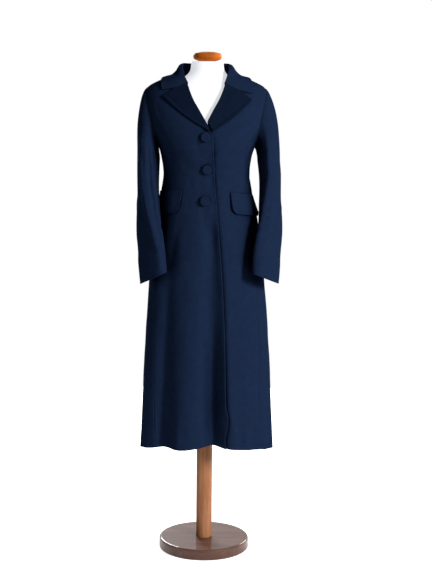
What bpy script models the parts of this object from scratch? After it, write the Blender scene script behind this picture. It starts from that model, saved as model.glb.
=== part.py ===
"""A single-breasted wool overcoat on a tailor's bust with a wooden stand.

Metres, +Z up, the floor at z = 0, the coat's front towards -Y. The coat is cut
and joined like a real one: two fronts (the wearer's right on top), two side
panels, a back, two-piece sleeves, collar stand and fall, turned-back lapels,
pocket flaps, bound buttonholes and covered buttons. Each is its own closed
wall of cloth, worked out from the section tables below.
"""

import math

import bmesh
import bpy
import numpy as np

# ---------------------------------------------------------------- sizes (m)
CLOTH = 0.0024            # wall of the coating
COLLAR_CLOTH = 0.0022     # wall of the collar and lapels
FLAP_CLOTH = 0.0026       # two layers of coating pressed together
SEAM = 0.00017            # each piece stops this far from the seam line
LIE = 0.0012              # clearance under a piece that lies on a panel
UNDER = 0.0036            # how deep the under front runs below the top front

HEM = 0.366               # mean height of the hem above the floor
ARMPIT = 1.372
TIP = 1.566               # shoulder tip
NECK_SIDE = 1.6215        # shoulder seam at the neck
NECK_BACK = 1.6040        # neckline at centre back
BREAK = 1.4286            # where the lapels begin to roll
V_POINT = 1.4555          # where the two roll lines cross


def table(columns, *rows):
    """A short table: a dict of arrays by column name."""
    names = columns.split()
    return {n: np.array([float(r[i]) for r in rows]) for i, n in enumerate(names)}


def smooth(t):
    t = np.clip(t, 0.0, 1.0)
    return t * t * (3.0 - 2.0 * t)


def curve(x, y):
    """A monotone cubic through the points of a table's two columns."""
    x, y = np.asarray(x, float), np.asarray(y, float)
    order = np.argsort(x)
    x, y = x[order], y[order]
    h, d = np.diff(x), np.diff(y) / np.diff(x)
    m = np.zeros_like(x)
    for i in range(1, len(x) - 1):
        if d[i - 1] * d[i] > 0:
            w1, w2 = 2 * h[i] + h[i - 1], h[i] + 2 * h[i - 1]
            m[i] = (w1 + w2) / (w1 / d[i - 1] + w2 / d[i])
    m[0], m[-1] = d[0], d[-1]

    def at(v):
        v = np.asarray(v, float)
        c = np.clip(v, x[0], x[-1])
        i = np.clip(np.searchsorted(x, c, side="right") - 1, 0, len(x) - 2)
        t = (c - x[i]) / h[i]
        return (
            (1 + 2 * t) * (1 - t) ** 2 * y[i]
            + t * (1 - t) ** 2 * h[i] * m[i]
            + t * t * (3 - 2 * t) * y[i + 1]
            + t * t * (t - 1) * h[i] * m[i + 1]
        )

    return at


# The cloth's outer face, ring by ring. shift is the ring's centre in x, power
# the roundness of the ring (2 is an ellipse, more is squarer).
BODY = table(
    "height half front back power shift",
    (0.330, 0.2255, 0.141, 0.142, 2.10, 0.0065),
    (0.700, 0.2088, 0.137, 0.139, 2.10, 0.0053),
    (0.915, 0.1938, 0.131, 0.135, 2.10, 0.0035),
    (1.050, 0.1810, 0.127, 0.131, 2.10, 0.0020),
    (1.150, 0.1665, 0.125, 0.127, 2.15, 0.0010),
    (1.220, 0.1515, 0.118, 0.118, 2.20, 0.0000),
    (1.290, 0.1430, 0.112, 0.108, 2.20, -0.0005),
    (1.340, 0.1490, 0.123, 0.108, 2.25, -0.0005),
    (1.385, 0.1630, 0.135, 0.114, 2.30, 0.0000),
    (1.430, 0.1820, 0.132, 0.120, 2.35, 0.0000),
    (1.480, 0.1960, 0.118, 0.120, 2.35, -0.0020),
    (1.525, 0.2025, 0.099, 0.111, 2.30, -0.0030),
    (1.553, 0.1990, 0.083, 0.098, 2.20, -0.0030),
    (1.568, 0.1885, 0.075, 0.090, 2.15, -0.0030),
    (1.590, 0.1470, 0.067, 0.081, 2.10, -0.0040),
    (1.612, 0.0925, 0.062, 0.075, 2.05, -0.0050),
    (1.640, 0.0670, 0.058, 0.071, 2.00, -0.0050),
)
ring = {n: curve(BODY["height"], BODY[n]) for n in BODY if n != "height"}

# Hanging folds of the skirt: angle at the hem (0 is centre front, + to +X),
# its width and drift up the skirt in degrees, how far it stands out (+) or in
# (-), and the height where it starts.
FOLDS = table(
    "angle width drift depth top",
    (5.0, 5.2, -5.3, -0.0340, 1.180),
    (17.5, 6.5, -8.0, 0.0090, 1.080),
    (-19.0, 9.0, 3.0, 0.0100, 1.130),
    (-41.0, 7.2, 1.0, -0.0210, 1.150),
    (-64.0, 10.0, 0.0, 0.0070, 1.000),
    (41.0, 10.0, -2.0, 0.0035, 1.050),
    (72.0, 9.0, 0.0, -0.0050, 0.950),
    (112.0, 11.0, 2.0, 0.0085, 1.100),
    (141.0, 9.0, -3.0, -0.0100, 1.050),
    (168.0, 11.0, -1.0, 0.0075, 1.120),
    (-161.0, 9.0, 2.0, -0.0110, 1.140),
    (-133.0, 10.0, 3.0, 0.0090, 1.050),
    (-106.0, 9.0, 0.0, -0.0055, 1.000),
)


def folds(deg, z):
    """How far the skirt stands off its plain ring at this angle and height."""
    out = np.zeros(np.broadcast(deg, z).shape)
    for a, w, dr, dp, top in zip(*(FOLDS[n] for n in ("angle", "width", "drift", "depth", "top"))):
        up = np.clip((z - HEM) / (top - HEM), 0.0, 1.0)
        off = (deg - (a + dr * up) + 180.0) % 360.0 - 180.0
        out = out + dp * smooth(1.0 - up) ** 0.8 * np.exp(-0.5 * (off / (w * (1 - 0.35 * up))) ** 2)
    return out


def flat_ring(deg, z):
    """The plain ring: its point, its normal in the ring's plane."""
    t = np.radians(deg)
    s, c = np.sin(t), np.cos(t)
    a, n = ring["half"](z), ring["power"](z)
    f = np.where(c > 0, ring["front"](z), ring["back"](z))
    x = a * np.sign(s) * np.abs(s) ** (2 / n)
    y = -f * np.sign(c) * np.abs(c) ** (2 / n)
    gx = np.sign(s) * np.abs(s) ** (2 - 2 / n) / a
    gy = -np.sign(c) * np.abs(c) ** (2 - 2 / n) / f
    g = np.hypot(gx, gy)
    return x, y, gx / g, gy / g


def body(deg, z, out=0.0):
    """A point of the coat's outer face, moved out by `out` level with its ring."""
    deg, z = np.broadcast_arrays(np.asarray(deg, float), np.asarray(z, float))
    x, y, nx, ny = flat_ring(deg, z)
    d = folds(deg, z)
    return np.stack([x + nx * d + ring["shift"](z), y + ny * d, z], -1)


def body_normal(deg, z, step=0.4, rise=0.0015):
    du = body(deg + step, z) - body(deg - step, z)
    dv = body(deg, z + rise) - body(deg, z - rise)
    n = np.cross(du, dv)
    return n / np.linalg.norm(n, axis=-1, keepdims=True)


def cloth(deg, z, lift=0.0):
    """The coat's outer face moved out by `lift` along its own normal."""
    lift = np.asarray(lift, float)
    return body(deg, z) + body_normal(deg, z) * lift[..., None]


def angle_x(x, z):
    """Angle on the front of the ring at height z for a distance x from its centre."""
    q = np.clip(np.abs(x) / ring["half"](z), 0, 1)
    return np.sign(x) * np.degrees(np.arcsin(q ** (ring["power"](z) / 2)))


def angle_y(y, z):
    """Angle (0 to 180) of the ring's point at depth y."""
    y = np.asarray(y, float)
    f = np.where(y < 0, ring["front"](z), ring["back"](z))
    q = np.clip(np.abs(y) / f, 0, 1) ** (ring["power"](z) / 2)
    a = np.degrees(np.arccos(q))
    return np.where(y < 0, a, 180.0 - a)


HEM_LINE = table(
    "angle height",
    (-180, 0.366), (-135, 0.362), (-90, 0.3595), (-62, 0.3665), (-40, 0.3755),
    (-22, 0.3760), (-9, 0.3810), (4, 0.3870), (12, 0.3840), (19, 0.3800),
    (32, 0.3745), (50, 0.3690), (70, 0.3590), (90, 0.3525), (135, 0.3590), (180, 0.366),
)
hem_height = curve(HEM_LINE["angle"], HEM_LINE["height"])

# Seams between the front, the side panel and the back, as angles by height.
SEAMS = table(
    "height front back",
    (0.330, 50.0, 131.0),
    (0.780, 57.0, 126.0),
    (1.000, 59.0, 123.0),
    (1.200, 62.0, 119.0),
    (1.290, 65.0, 116.0),
    (1.392, 74.6, 113.0),
)
ARM_FRONT = (1.392, -0.040)
ARM_BACK = (1.398, 0.050)
seam_front = curve(SEAMS["height"], SEAMS["front"])
seam_back = curve(SEAMS["height"], SEAMS["back"])

# The front edge of the top front below the lapel: distance from the centre.
EDGE = table(
    "height x",
    (0.330, 0.0665), (0.386, 0.0650), (0.408, 0.0630), (0.430, 0.0665), (0.452, 0.0700), (0.487, 0.0710),
    (0.527, 0.0645), (0.607, 0.0625), (0.760, 0.0590), (0.950, 0.0508), (1.190, 0.0338),
    (1.270, 0.0275), (1.320, 0.0252), (1.392, 0.0222), (1.414, 0.0208),
)
front_edge = curve(EDGE["height"], EDGE["x"])
UNDER_EDGE = -0.030       # the under front's edge, out of sight

# Rows of the upper front: the armhole on one side (height, depth), the front
# edge, roll line and neckline on the other (height, distance from centre).
UPPER_FRONT = table(
    "arm_z arm_y edge_z edge_x",
    (1.392, -0.0400, 1.3920, -0.0222),
    (1.407, -0.0495, 1.4140, -0.0208),
    (1.428, -0.0565, 1.4286, -0.0125),
    (1.452, -0.0580, 1.4555, 0.0000),
    (1.476, -0.0550, 1.4780, 0.0122),
    (1.500, -0.0485, 1.5020, 0.0258),
    (1.523, -0.0385, 1.5270, 0.0403),
    (1.543, -0.0262, 1.5530, 0.0517),
    (1.5575, -0.0125, 1.5780, 0.0600),
    (1.5635, -0.0050, 1.6000, 0.0700),
    (1.566, 0.0000, 1.6215, 0.0800),
)
GORGE = 8                 # the row whose edge point is the gorge
ROLL = table(
    "height x",
    (1.4286, -0.0125), (1.4555, 0.0), (1.4780, 0.0122), (1.5020, 0.0258),
    (1.5270, 0.0403), (1.5530, 0.0517), (1.5780, 0.0600), (1.6030, 0.0695),
)
roll_x = curve(ROLL["height"], ROLL["x"])

# Rows of the upper back: the armhole, then the shoulder seam.
UPPER_BACK = table(
    "arm_z arm_y",
    (1.398, 0.0500), (1.420, 0.0600), (1.446, 0.0660), (1.474, 0.0665), (1.502, 0.0610),
    (1.528, 0.0500), (1.549, 0.0330), (1.561, 0.0150), (1.566, 0.0), (1.584, 0.0), (1.603, 0.0), (1.6215, 0.0),
)
UNDERARM = table(
    "y height",
    (-0.0400, 1.392), (-0.0270, 1.3805), (-0.0100, 1.3735), (0.0060, 1.3720), (0.0250, 1.3765), (0.0400, 1.3870), (0.0500, 1.398),
)
underarm_height = curve(UNDERARM["y"], UNDERARM["height"])


def grid_normals(p):
    """Normals of a grid of points from its neighbours."""
    du = np.gradient(p, axis=0)
    dv = np.gradient(p, axis=1)
    n = np.cross(du, dv)
    return n / np.maximum(np.linalg.norm(n, axis=-1, keepdims=True), 1e-12)


# ------------------------------------------------------- pieces as grids
LOW_ROWS = [None, 0.470, 0.580, 0.690, 0.800, 0.900, 0.990, 1.070, 1.140, 1.195, 1.240, 1.276, 1.306, 1.335, 1.364]


def spread(a, b, n, ease=0.0):
    t = np.linspace(0, 1, n)
    return a + (b - a) * (t + ease * np.sin(2 * np.pi * t) / (2 * np.pi))


def low_front_edge(z, top):
    """Angle of the front's edge (measured on its own side, minus is across centre)."""
    if top:
        return -angle_x(front_edge(z), z)
    return angle_x(UNDER_EDGE, z)


def front_grid(side, top, cols=14):
    """Angle and height grid of a front: columns from the side seam to the edge."""
    deg, hgt = [], []
    share = 1.0 - (1.0 - np.linspace(0, 1, cols)) ** 1.3   # closer together by the edge
    for z in LOW_ROWS:
        zz = HEM if z is None else z
        a = float(seam_front(zz))
        d = a + (float(low_front_edge(zz, top)) - a) * share
        deg.append(d)
        hgt.append(hem_height(side * d) if z is None else np.full(cols, z))
    for i in range(len(UPPER_FRONT["arm_z"])):
        az, ay = UPPER_FRONT["arm_z"][i], UPPER_FRONT["arm_y"][i]
        ez, ex = UPPER_FRONT["edge_z"][i], UPPER_FRONT["edge_x"][i]
        if not top and i < 2:
            ex = UNDER_EDGE + 0.008 * i
        d0 = 90.0 if ay == 0 else float(angle_y(ay, az))
        d1 = 90.0 if i == len(UPPER_FRONT["arm_z"]) - 1 else float(angle_x(ex, ez))
        mix = share + (np.linspace(0, 1, cols) - share) * (i / 10.0)
        deg.append(d0 + (d1 - d0) * mix)
        hgt.append(az + (ez - az) * mix)
    return side * np.array(deg).T, np.array(hgt).T


def under_lift(deg, z):
    """The under front runs behind the top one and comes level beyond its edge."""
    x = body(deg, z)[..., 0] - ring["shift"](z)
    edge = np.where(z < 1.414, front_edge(np.minimum(z, 1.414)), -roll_x(np.clip(z, 1.4286, 1.60)))
    fade = 1.0 - smooth((x - edge - 0.008) / 0.045)
    deep = UNDER * (1.0 + 0.35 * smooth((1.15 - z) / 0.25))
    return -deep * fade * (1.0 - smooth((z - 1.470) / 0.045))


def side_grid(side, cols=7):
    deg, hgt = [], []
    for z in LOW_ROWS:
        zz = HEM if z is None else z
        d = spread(float(seam_front(zz)), float(seam_back(zz)), cols)
        deg.append(d)
        hgt.append(hem_height(side * d) if z is None else np.full(cols, z))
    y = UNDERARM["y"]
    z = UNDERARM["height"]
    deg[-1] = spread(float(seam_front(1.364)), float(seam_back(1.364)), cols)
    deg.append(angle_y(y, z))
    hgt.append(z)
    hgt[-2] = np.full(cols, 1.364) - 0.010 * np.sin(np.pi * np.linspace(0, 1, cols))
    return side * np.array(deg).T, np.array(hgt).T


def neck_height(deg):
    """The back neckline, from the shoulder seam round to centre back."""
    t = smooth((180.0 - np.abs(np.abs(deg) - 180.0) - 90.0) / 90.0 * 1.0)
    t = smooth(1 - np.abs(180.0 - np.abs(deg)) / 90.0)
    return NECK_SIDE + (NECK_BACK - NECK_SIDE) * t


def back_grid(cols=19):
    """The back in one piece, columns from the viewer's left to the right."""
    deg, hgt = [], []
    for z in LOW_ROWS:
        zz = HEM if z is None else z
        s = float(seam_back(zz))
        d = spread(s, 360.0 - s, cols)
        deg.append(d)
        w = np.where(d > 180.0, d - 360.0, d)
        hgt.append(hem_height(w) if z is None else np.full(cols, z))
    n = len(UPPER_BACK["arm_z"])
    for i in range(n):
        az, ay = UPPER_BACK["arm_z"][i], UPPER_BACK["arm_y"][i]
        s = 90.0 if ay == 0 else float(angle_y(ay, az))
        d = spread(s, 360.0 - s, cols)
        deg.append(d)
        drop = smooth((i - 4) / (n - 5.0))
        w = np.where(d > 180.0, 360.0 - d, d)
        lowered = neck_height(w) - NECK_SIDE
        hgt.append(az + drop * lowered * (1.0 if i == n - 1 else 0.9))
    return np.array(deg).T, np.array(hgt).T


def inset(p, edges):
    """Draws the named edges of a grid in from the seam line."""
    q = p.copy()

    def pull(a, b):
        d = b - a
        return a + d / np.maximum(np.linalg.norm(d, axis=-1, keepdims=True), 1e-9) * SEAM

    if "u0" in edges:
        q[0] = pull(p[0], p[1])
    if "u1" in edges:
        q[-1] = pull(p[-1], p[-2])
    p = q.copy()
    if "v0" in edges:
        q[:, 0] = pull(p[:, 0], p[:, 1])
    if "v1" in edges:
        q[:, -1] = pull(p[:, -1], p[:, -2])
    return q


def armhole(side):
    """The armhole's seam points: shoulder tip, down the front, under, up the back."""
    pts = []
    rows = list(zip(UPPER_FRONT["arm_z"], UPPER_FRONT["arm_y"]))[::-1]
    pts += [(90.0 if y == 0 else float(angle_y(y, z)), z) for z, y in rows]
    pts += [(float(angle_y(y, z)), z) for y, z in zip(UNDERARM["y"][1:-1], UNDERARM["height"][1:-1])]
    pts += [(90.0 if y == 0 else float(angle_y(y, z)), z) for z, y in zip(UPPER_BACK["arm_z"][:8], UPPER_BACK["arm_y"][:8])]
    d, z = np.array(pts).T
    return side * d, z


# The sleeve's sections: the centre's height, its distance from the middle on
# each side, its depth on each side, half the long and short ways across, the
# turn of the long way from straight ahead to inwards, how far the ring tips up
# at its front end on each side, and how far its outer side drops.
SLEEVE = table(
    "height out_left out_right y_left y_right long short turn tip_left tip_right drop",
    (1.330, 0.1925, 0.2045, 0.004, 0.004, 0.0800, 0.0375, 0.0, 0.00, 0.00, 0.00),
    (1.275, 0.1920, 0.2095, -0.006, -0.002, 0.0775, 0.0365, 2.0, 0.02, 0.02, 0.00),
    (1.220, 0.1915, 0.2105, -0.030, -0.012, 0.0740, 0.0350, 8.0, 0.06, 0.05, 0.02),
    (1.168, 0.1905, 0.2110, -0.060, -0.030, 0.0705, 0.0335, 17.0, 0.14, 0.11, 0.05),
    (1.115, 0.1870, 0.2095, -0.081, -0.054, 0.0670, 0.0315, 26.0, 0.24, 0.19, 0.09),
    (1.062, 0.1815, 0.2050, -0.094, -0.074, 0.0635, 0.0295, 34.0, 0.33, 0.26, 0.13),
    (1.010, 0.1765, 0.1995, -0.103, -0.090, 0.0600, 0.0275, 41.0, 0.39, 0.32, 0.16),
    (0.9500, 0.1705, 0.1950, -0.112, -0.103, 0.0560, 0.0250, 45.0, 0.42, 0.36, 0.18),
)
sleeve_at = {n: curve(SLEEVE["height"], SLEEVE[n]) for n in SLEEVE if n != "height"}
CAP_TURNS = (0.0, 0.09, 0.20, 0.33, 0.48, 0.65, 0.82, 1.0)
SLEEVE_TOP = 1.330


def sleeve_ring(side, phi, z, shrink=0.0):
    """A point of a sleeve's section: phi 0 is outside, 90 the front, 180 the body side."""
    name = "out_left" if side < 0 else "out_right"
    cx, cy = sleeve_at[name](z), sleeve_at["y_left" if side < 0 else "y_right"](z)
    m, k = sleeve_at["long"](z) - shrink, sleeve_at["short"](z) - shrink
    r = np.radians(sleeve_at["turn"](z))
    t = np.radians(phi)
    n = 2.25
    along = m * np.sign(np.sin(t)) * np.abs(np.sin(t)) ** (2 / n)
    across = k * np.sign(np.cos(t)) * np.abs(np.cos(t)) ** (2 / n)
    x = side * (cx + across * np.cos(r) - along * np.sin(r))
    y = cy - along * np.cos(r) - across * np.sin(r)
    tip = sleeve_at["tip_left" if side < 0 else "tip_right"](z)
    return np.stack([x, y, z + along * tip - across * sleeve_at["drop"](z)], -1)


def loop_fraction(points):
    """Share of the way round a closed loop, 0 to 1."""
    d = np.linalg.norm(np.diff(np.vstack([points, points[:1]]), axis=0), axis=1)
    return np.concatenate([[0], np.cumsum(d)])[:-1] / d.sum()


def sleeve_grid(side):
    """A sleeve's outer face, rows from the armhole to the cuff, closed round."""
    deg, hgt = armhole(side)
    a = body(deg, hgt)
    frac = loop_fraction(a)
    under = frac[len(UPPER_FRONT["arm_z"]) + 2]
    phi = np.where(frac < under, 180.0 * frac / under, 180.0 + 180.0 * (frac - under) / (1 - under))
    outward = np.array([side * 1.0, 0.0, -0.22])
    outward = outward / np.linalg.norm(outward)
    start = a + outward * 2 * SEAM
    end = sleeve_ring(side, phi, np.full(len(phi), SLEEVE_TOP))
    top = 0.5 + 0.5 * np.cos(np.radians(phi))
    rows = []
    for t in CAP_TURNS:
        h00, h10 = 2 * t**3 - 3 * t**2 + 1, t**3 - 2 * t**2 + t
        h01, h11 = -2 * t**3 + 3 * t**2, t**3 - t**2
        reach = (0.018 + 0.080 * top)[:, None]
        fall = np.stack([0 * phi, 0 * phi, -(start[:, 2] - end[:, 2]) * (0.75 + 0.35 * top) - 0.01], -1)
        rows.append(h00 * start + h10 * outward * reach + h01 * end + h11 * fall)
    for z in SLEEVE["height"][1:]:
        rows.append(sleeve_ring(side, phi, np.full(len(phi), z)))
    return np.array(rows), phi


# Collar guides on one side, from the front end round to centre back: the roll
# line (top of the collar) and the outer edge of the fall. x is on the piece's side.
COLLAR = table(
    "part roll_x roll_y roll_z edge_x edge_y edge_z",
    (0.00, 0.0606, -0.0690, 1.5795, 0.1462, -0.0600, 1.5540),
    (0.10, 0.0680, -0.0590, 1.5990, 0.1480, -0.0470, 1.5700),
    (0.20, 0.0740, -0.0440, 1.6180, 0.1460, -0.0260, 1.5850),
    (0.32, 0.0775, -0.0210, 1.6350, 0.1420, -0.0050, 1.5950),
    (0.44, 0.0765, 0.0000, 1.6420, 0.1360, 0.0180, 1.5985),
    (0.58, 0.0700, 0.0250, 1.6440, 0.1240, 0.0430, 1.5965),
    (0.72, 0.0540, 0.0480, 1.6435, 0.0980, 0.0690, 1.5920),
    (0.86, 0.0290, 0.0620, 1.6425, 0.0550, 0.0900, 1.5870),
    (1.00, 0.0000, 0.0670, 1.6420, 0.0000, 0.0985, 1.5850),
)
collar_at = {n: curve(COLLAR["part"], COLLAR[n]) for n in COLLAR if n != "part"}
NOTCH = (0.1075, 1.5595)      # the notch's corner: distance from centre, height
LAPEL_TIP = (0.1430, 1.5325)
SKEW = (0.0030, -0.0045)      # the wearer's left tips sit this much out and down
BELLY = 0.0060                # curve of the lapel's outer edge


def skin_distance(p):
    """Roughly how far a point is outside the coat's outer face, and the way out."""
    def level(q):
        z = np.clip(q[..., 2], 1.30, 1.639)
        x = np.abs(q[..., 0] - ring["shift"](z)) / ring["half"](z)
        y = np.abs(q[..., 1]) / np.where(q[..., 1] < 0, ring["front"](z), ring["back"](z))
        n = ring["power"](z)
        return (x**n + y**n) ** (1 / n) - 1

    e = 5e-4
    g = np.stack([(level(p + e * a) - level(p - e * a)) / (2 * e) for a in np.eye(3)], -1)
    size = np.maximum(np.linalg.norm(g, axis=-1), 1e-6)
    return level(p) / size, g / size[..., None]


def push_out(p, clear):
    for _ in range(4):
        d, n = skin_distance(p)
        p = p + n * np.maximum(clear - d, 0.0)[..., None]
    return p


def collar_guides(s):
    """Roll line and outer edge at s from -1 (viewer's left gorge) to 1."""
    s = np.asarray(s, float)
    part = 1.0 - np.abs(s)
    side = np.where(s < 0, -1.0, 1.0)
    g = {n: collar_at[n](part) for n in collar_at}
    near = smooth(1.0 - part / 0.3)
    roll = np.stack([side * g["roll_x"] + ring["shift"](g["roll_z"]), g["roll_y"], g["roll_z"]], -1)
    edge = np.stack(
        [
            side * (g["edge_x"] + side * SKEW[0] * near) + ring["shift"](g["edge_z"]),
            g["edge_y"],
            g["edge_z"] + side * SKEW[1] * near,
        ],
        -1,
    )
    return roll, edge, part, side


FALL_TURNS = (0.0, 0.05, 0.14, 0.30, 0.48, 0.65, 0.82, 1.0)
FALL_STEPS = (0.0, 0.05, 0.11, 0.18, 0.26, 0.35, 0.45, 0.57, 0.70, 0.85, 1.0)
NOTCH_AT = 0.48               # share of the fall's front end that is sewn to the lapel


def collar_fall_grid(steps=FALL_STEPS, turns=FALL_TURNS):
    """The fall: from the roll line out and down over the shoulders."""
    part = np.array(list(steps) + list(steps[-2::-1]))
    s = np.array([v - 1.0 for v in steps] + [1.0 - v for v in steps[-2::-1]])
    roll, edge, part, side = collar_guides(s)
    rows = []
    for t in turns:
        p = roll + (edge - roll) * t
        rise = smooth(part / 0.35) * (
            0.0036 * np.sin(np.pi * min(t / 0.34, 1.0)) - 0.0085 * np.sin(np.pi * max(t - 0.17, 0.0) / 0.83)
        )
        p[..., 2] += rise
        # the front end drops to the gorge and the notch's corner
        bend = smooth(1.0 - part / 0.16)
        corner_x = side * (NOTCH[0] + side * SKEW[0]) + ring["shift"](1.56)
        corner_z = NOTCH[1] + 0.0022 + side * SKEW[1] * 0.9
        k = min(t / NOTCH_AT, 1.0) if t <= NOTCH_AT else (1 - t) / (1 - NOTCH_AT)
        straight = roll + (edge - roll) * NOTCH_AT
        p[..., 0] += bend * k * (corner_x - straight[..., 0])
        p[..., 2] += bend * k * (corner_z - straight[..., 2])
        q = np.clip(np.abs(p[..., 0] - ring["shift"](p[..., 2])) / ring["half"](p[..., 2]), 0, 0.999)
        n = ring["power"](p[..., 2])
        on = -ring["front"](p[..., 2]) * (1 - q**n) ** (1 / n) - LIE - COLLAR_CLOTH
        w = smooth(1.0 - part / 0.30) * smooth(t / 0.10)
        p[..., 1] = p[..., 1] * (1 - w) + np.minimum(on, p[..., 1]) * w
        rows.append(p)
    return push_out(np.array(rows), LIE + COLLAR_CLOTH + 0.0005)


def front_outer(side, top):
    deg, hgt = front_grid(side, top)
    lift = np.zeros(deg.shape) if top else under_lift(deg, hgt)
    p = cloth(deg, hgt, lift)
    n = body_normal(deg, hgt)
    seam = shoulder_seam(side)
    t = np.linspace(0, 1, len(p))
    at = np.concatenate([[0], np.cumsum(np.linalg.norm(np.diff(seam, axis=0), axis=1))])
    p[:, -1] = np.stack([np.interp(t, at / at[-1], seam[:, k]) for k in range(3)], -1)
    return p, n


def back_angles(d):
    return np.where(d > 180.0, d - 360.0, d)


def shoulder_seam(side):
    """Points of the shoulder seam, tip to neck."""
    z = UPPER_BACK["arm_z"][8:]
    z = np.concatenate([[TIP], z[z > TIP]])
    return cloth(np.full(len(z), side * 90.0), z)


def stand_guides():
    """Where the stand is sewn on: the neckline's points, gorge to gorge."""
    ends = {}
    for side in (-1, 1):
        p, _ = front_outer(side, side < 0)
        ends[side] = p[-1, len(LOW_ROWS) + GORGE :]
    deg, hgt = back_grid()
    row = cloth(back_angles(deg[:, -1]), hgt[:, -1])[::-1]
    return np.vstack([ends[-1][:-1], row, ends[1][:-1][::-1]])


def stand_grid(turns=(0.0, 0.55, 1.0)):
    """The stand: from the neckline up to just under the roll line."""
    base = stand_guides()
    frac = np.concatenate([[0], np.cumsum(np.linalg.norm(np.diff(base, axis=0), axis=1))])
    frac = frac / frac[-1] * 2 - 1
    frac = np.clip(frac, -0.985, 0.985)
    roll, _, part, _ = collar_guides(frac)
    middle = np.array([-0.005, 0.006])
    inward = middle - roll[:, :2]
    inward /= np.linalg.norm(inward, axis=1, keepdims=True)
    top = roll.copy()
    top[:, :2] -= inward * (COLLAR_CLOTH - 0.0016)
    top[:, 2] -= COLLAR_CLOTH + 0.0022
    low = base.copy()
    low[:, 2] += 0.0006
    full = smooth((part - 0.05) / 0.30)[:, None]
    top = (low + np.array([0, 0, 0.0022])) * (1 - full) + top * full
    rows = []
    for t in turns:
        rows.append(low + (top - low) * t)
    flat = np.concatenate([inward, 0 * inward[:, :1]], axis=1)
    return np.array(rows), np.broadcast_to(flat, (len(turns), len(base), 3))


def lapel_grid(side, steps=9, cols=7):
    """A lapel as distances from the centre and heights, rows from the break up."""
    n = GORGE - 2
    rz = UPPER_FRONT["edge_z"][2 : GORGE + 1].copy()
    rx = UPPER_FRONT["edge_x"][2 : GORGE + 1].copy()
    if side > 0:
        rz[0], rx[0], rx[1], rz[1] = 1.4310, 0.0138, 0.0024, 1.4565
        ox, oz = 0.0190, 1.4310
    else:
        rz[0], rx[0] = 1.4312, -0.0112
        ox, oz = -0.0052, 1.4312
    rz[-1] -= 0.0006
    tip = (LAPEL_TIP[0] + side * SKEW[0], LAPEL_TIP[1] + side * SKEW[1])
    corner = (NOTCH[0] + side * SKEW[0], NOTCH[1] + side * SKEW[1] * 0.9 - 0.0004)
    length = np.concatenate([[0], np.cumsum(np.hypot(np.diff(rx), np.diff(rz)))])
    t = length / length[-1]
    ex, ez = ox + (tip[0] - ox) * t, oz + (tip[1] - oz) * t
    d = np.array([tip[0] - ox, tip[1] - oz])
    d = d / np.linalg.norm(d)
    bulge = BELLY * np.sin(np.pi * t)
    ex, ez = ex + bulge * d[1], ez - bulge * d[0]
    q = np.array([0.0, 0.06, 0.2, 0.38, 0.57, 0.78, 1.0])
    x = rx[:, None] + (ex - rx)[:, None] * q
    z = rz[:, None] + (ez - rz)[:, None] * q
    k = smooth((t - 0.45) / 0.55)[:, None]
    at = 0.57
    w = np.where(q <= at, q / at, (1 - q) / (1 - at))
    x += k * w * (corner[0] - (rx[-1] + (ex[-1] - rx[-1]) * at))
    z += k * w * (corner[1] - (rz[-1] + (ez[-1] - rz[-1]) * at))
    return x, z


def lapel_outer(side):
    x, z = lapel_grid(side)
    deg = side * angle_x(x, z)
    base = np.zeros(deg.shape) if side < 0 else under_lift(deg, z)
    low = cloth(deg, z, base + LIE)
    return low, cloth(deg, z, base + LIE + COLLAR_CLOTH)


# Pocket flaps: inner top, outer top, inner bottom and outer bottom corners.
FLAPS = table(
    "side top_in top_in_z top_out top_out_z low_in low_in_z low_out low_out_z",
    (-1, 0.0760, 1.2420, 0.1490, 1.2280, 0.0900, 1.1635, 0.1645, 1.1530),
    (1, 0.0762, 1.2330, 0.1500, 1.2165, 0.0840, 1.1630, 0.1655, 1.1455),
)
FLAP_ROUND = 0.012


def flap_grid(side, cols=9, rows=5):
    i = 0 if side < 0 else 1
    f = {n: FLAPS[n][i] for n in FLAPS}

    def deg_of(x, z):
        return float(angle_x(x, z))

    a = {}
    for k in ("top_in", "top_out", "low_in", "low_out"):
        a[k] = (deg_of(f[k], f[k + "_z"]), f[k + "_z"])
    u = np.array([0, 0.045, 0.12, 0.25, 0.40, 0.55, 0.70, 0.82, 0.93, 1.0])
    v = np.array([0, 0.08, 0.2, 0.45, 0.7, 1.0])   # bottom to top
    U, V = np.meshgrid(u, v, indexing="ij")
    top = [a["top_in"][k] + (a["top_out"][k] - a["top_in"][k]) * U for k in (0, 1)]
    low = [a["low_in"][k] + (a["low_out"][k] - a["low_in"][k]) * U for k in (0, 1)]
    deg = low[0] + (top[0] - low[0]) * V
    z = low[1] + (top[1] - low[1]) * V
    # rounded lower corners: the bottom edge rises at both ends
    ends = np.clip(1 - U / 0.12, 0, 1) ** 2 + np.clip(1 - (1 - U) / 0.12, 0, 1) ** 2
    z = z + FLAP_ROUND * ends * (1 - V)
    return side * deg, z


def flap_outer(side):
    deg, z = flap_grid(side)
    v = (z - z.min()) / (z.max() - z.min())
    low = cloth(deg, z, LIE * (1.6 - 0.9 * v))
    return low, cloth(deg, z, LIE * (1.6 - 0.9 * v) + FLAP_CLOTH)


BUTTONS = table(
    "height x",
    (1.4110, -0.0040), (1.3070, 0.0015), (1.2040, -0.0052),
)
BUTTON_RADIUS = 0.0158
BUTTONHOLE = (0.0460, 0.0100)   # length and height of the bound buttonhole


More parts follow.
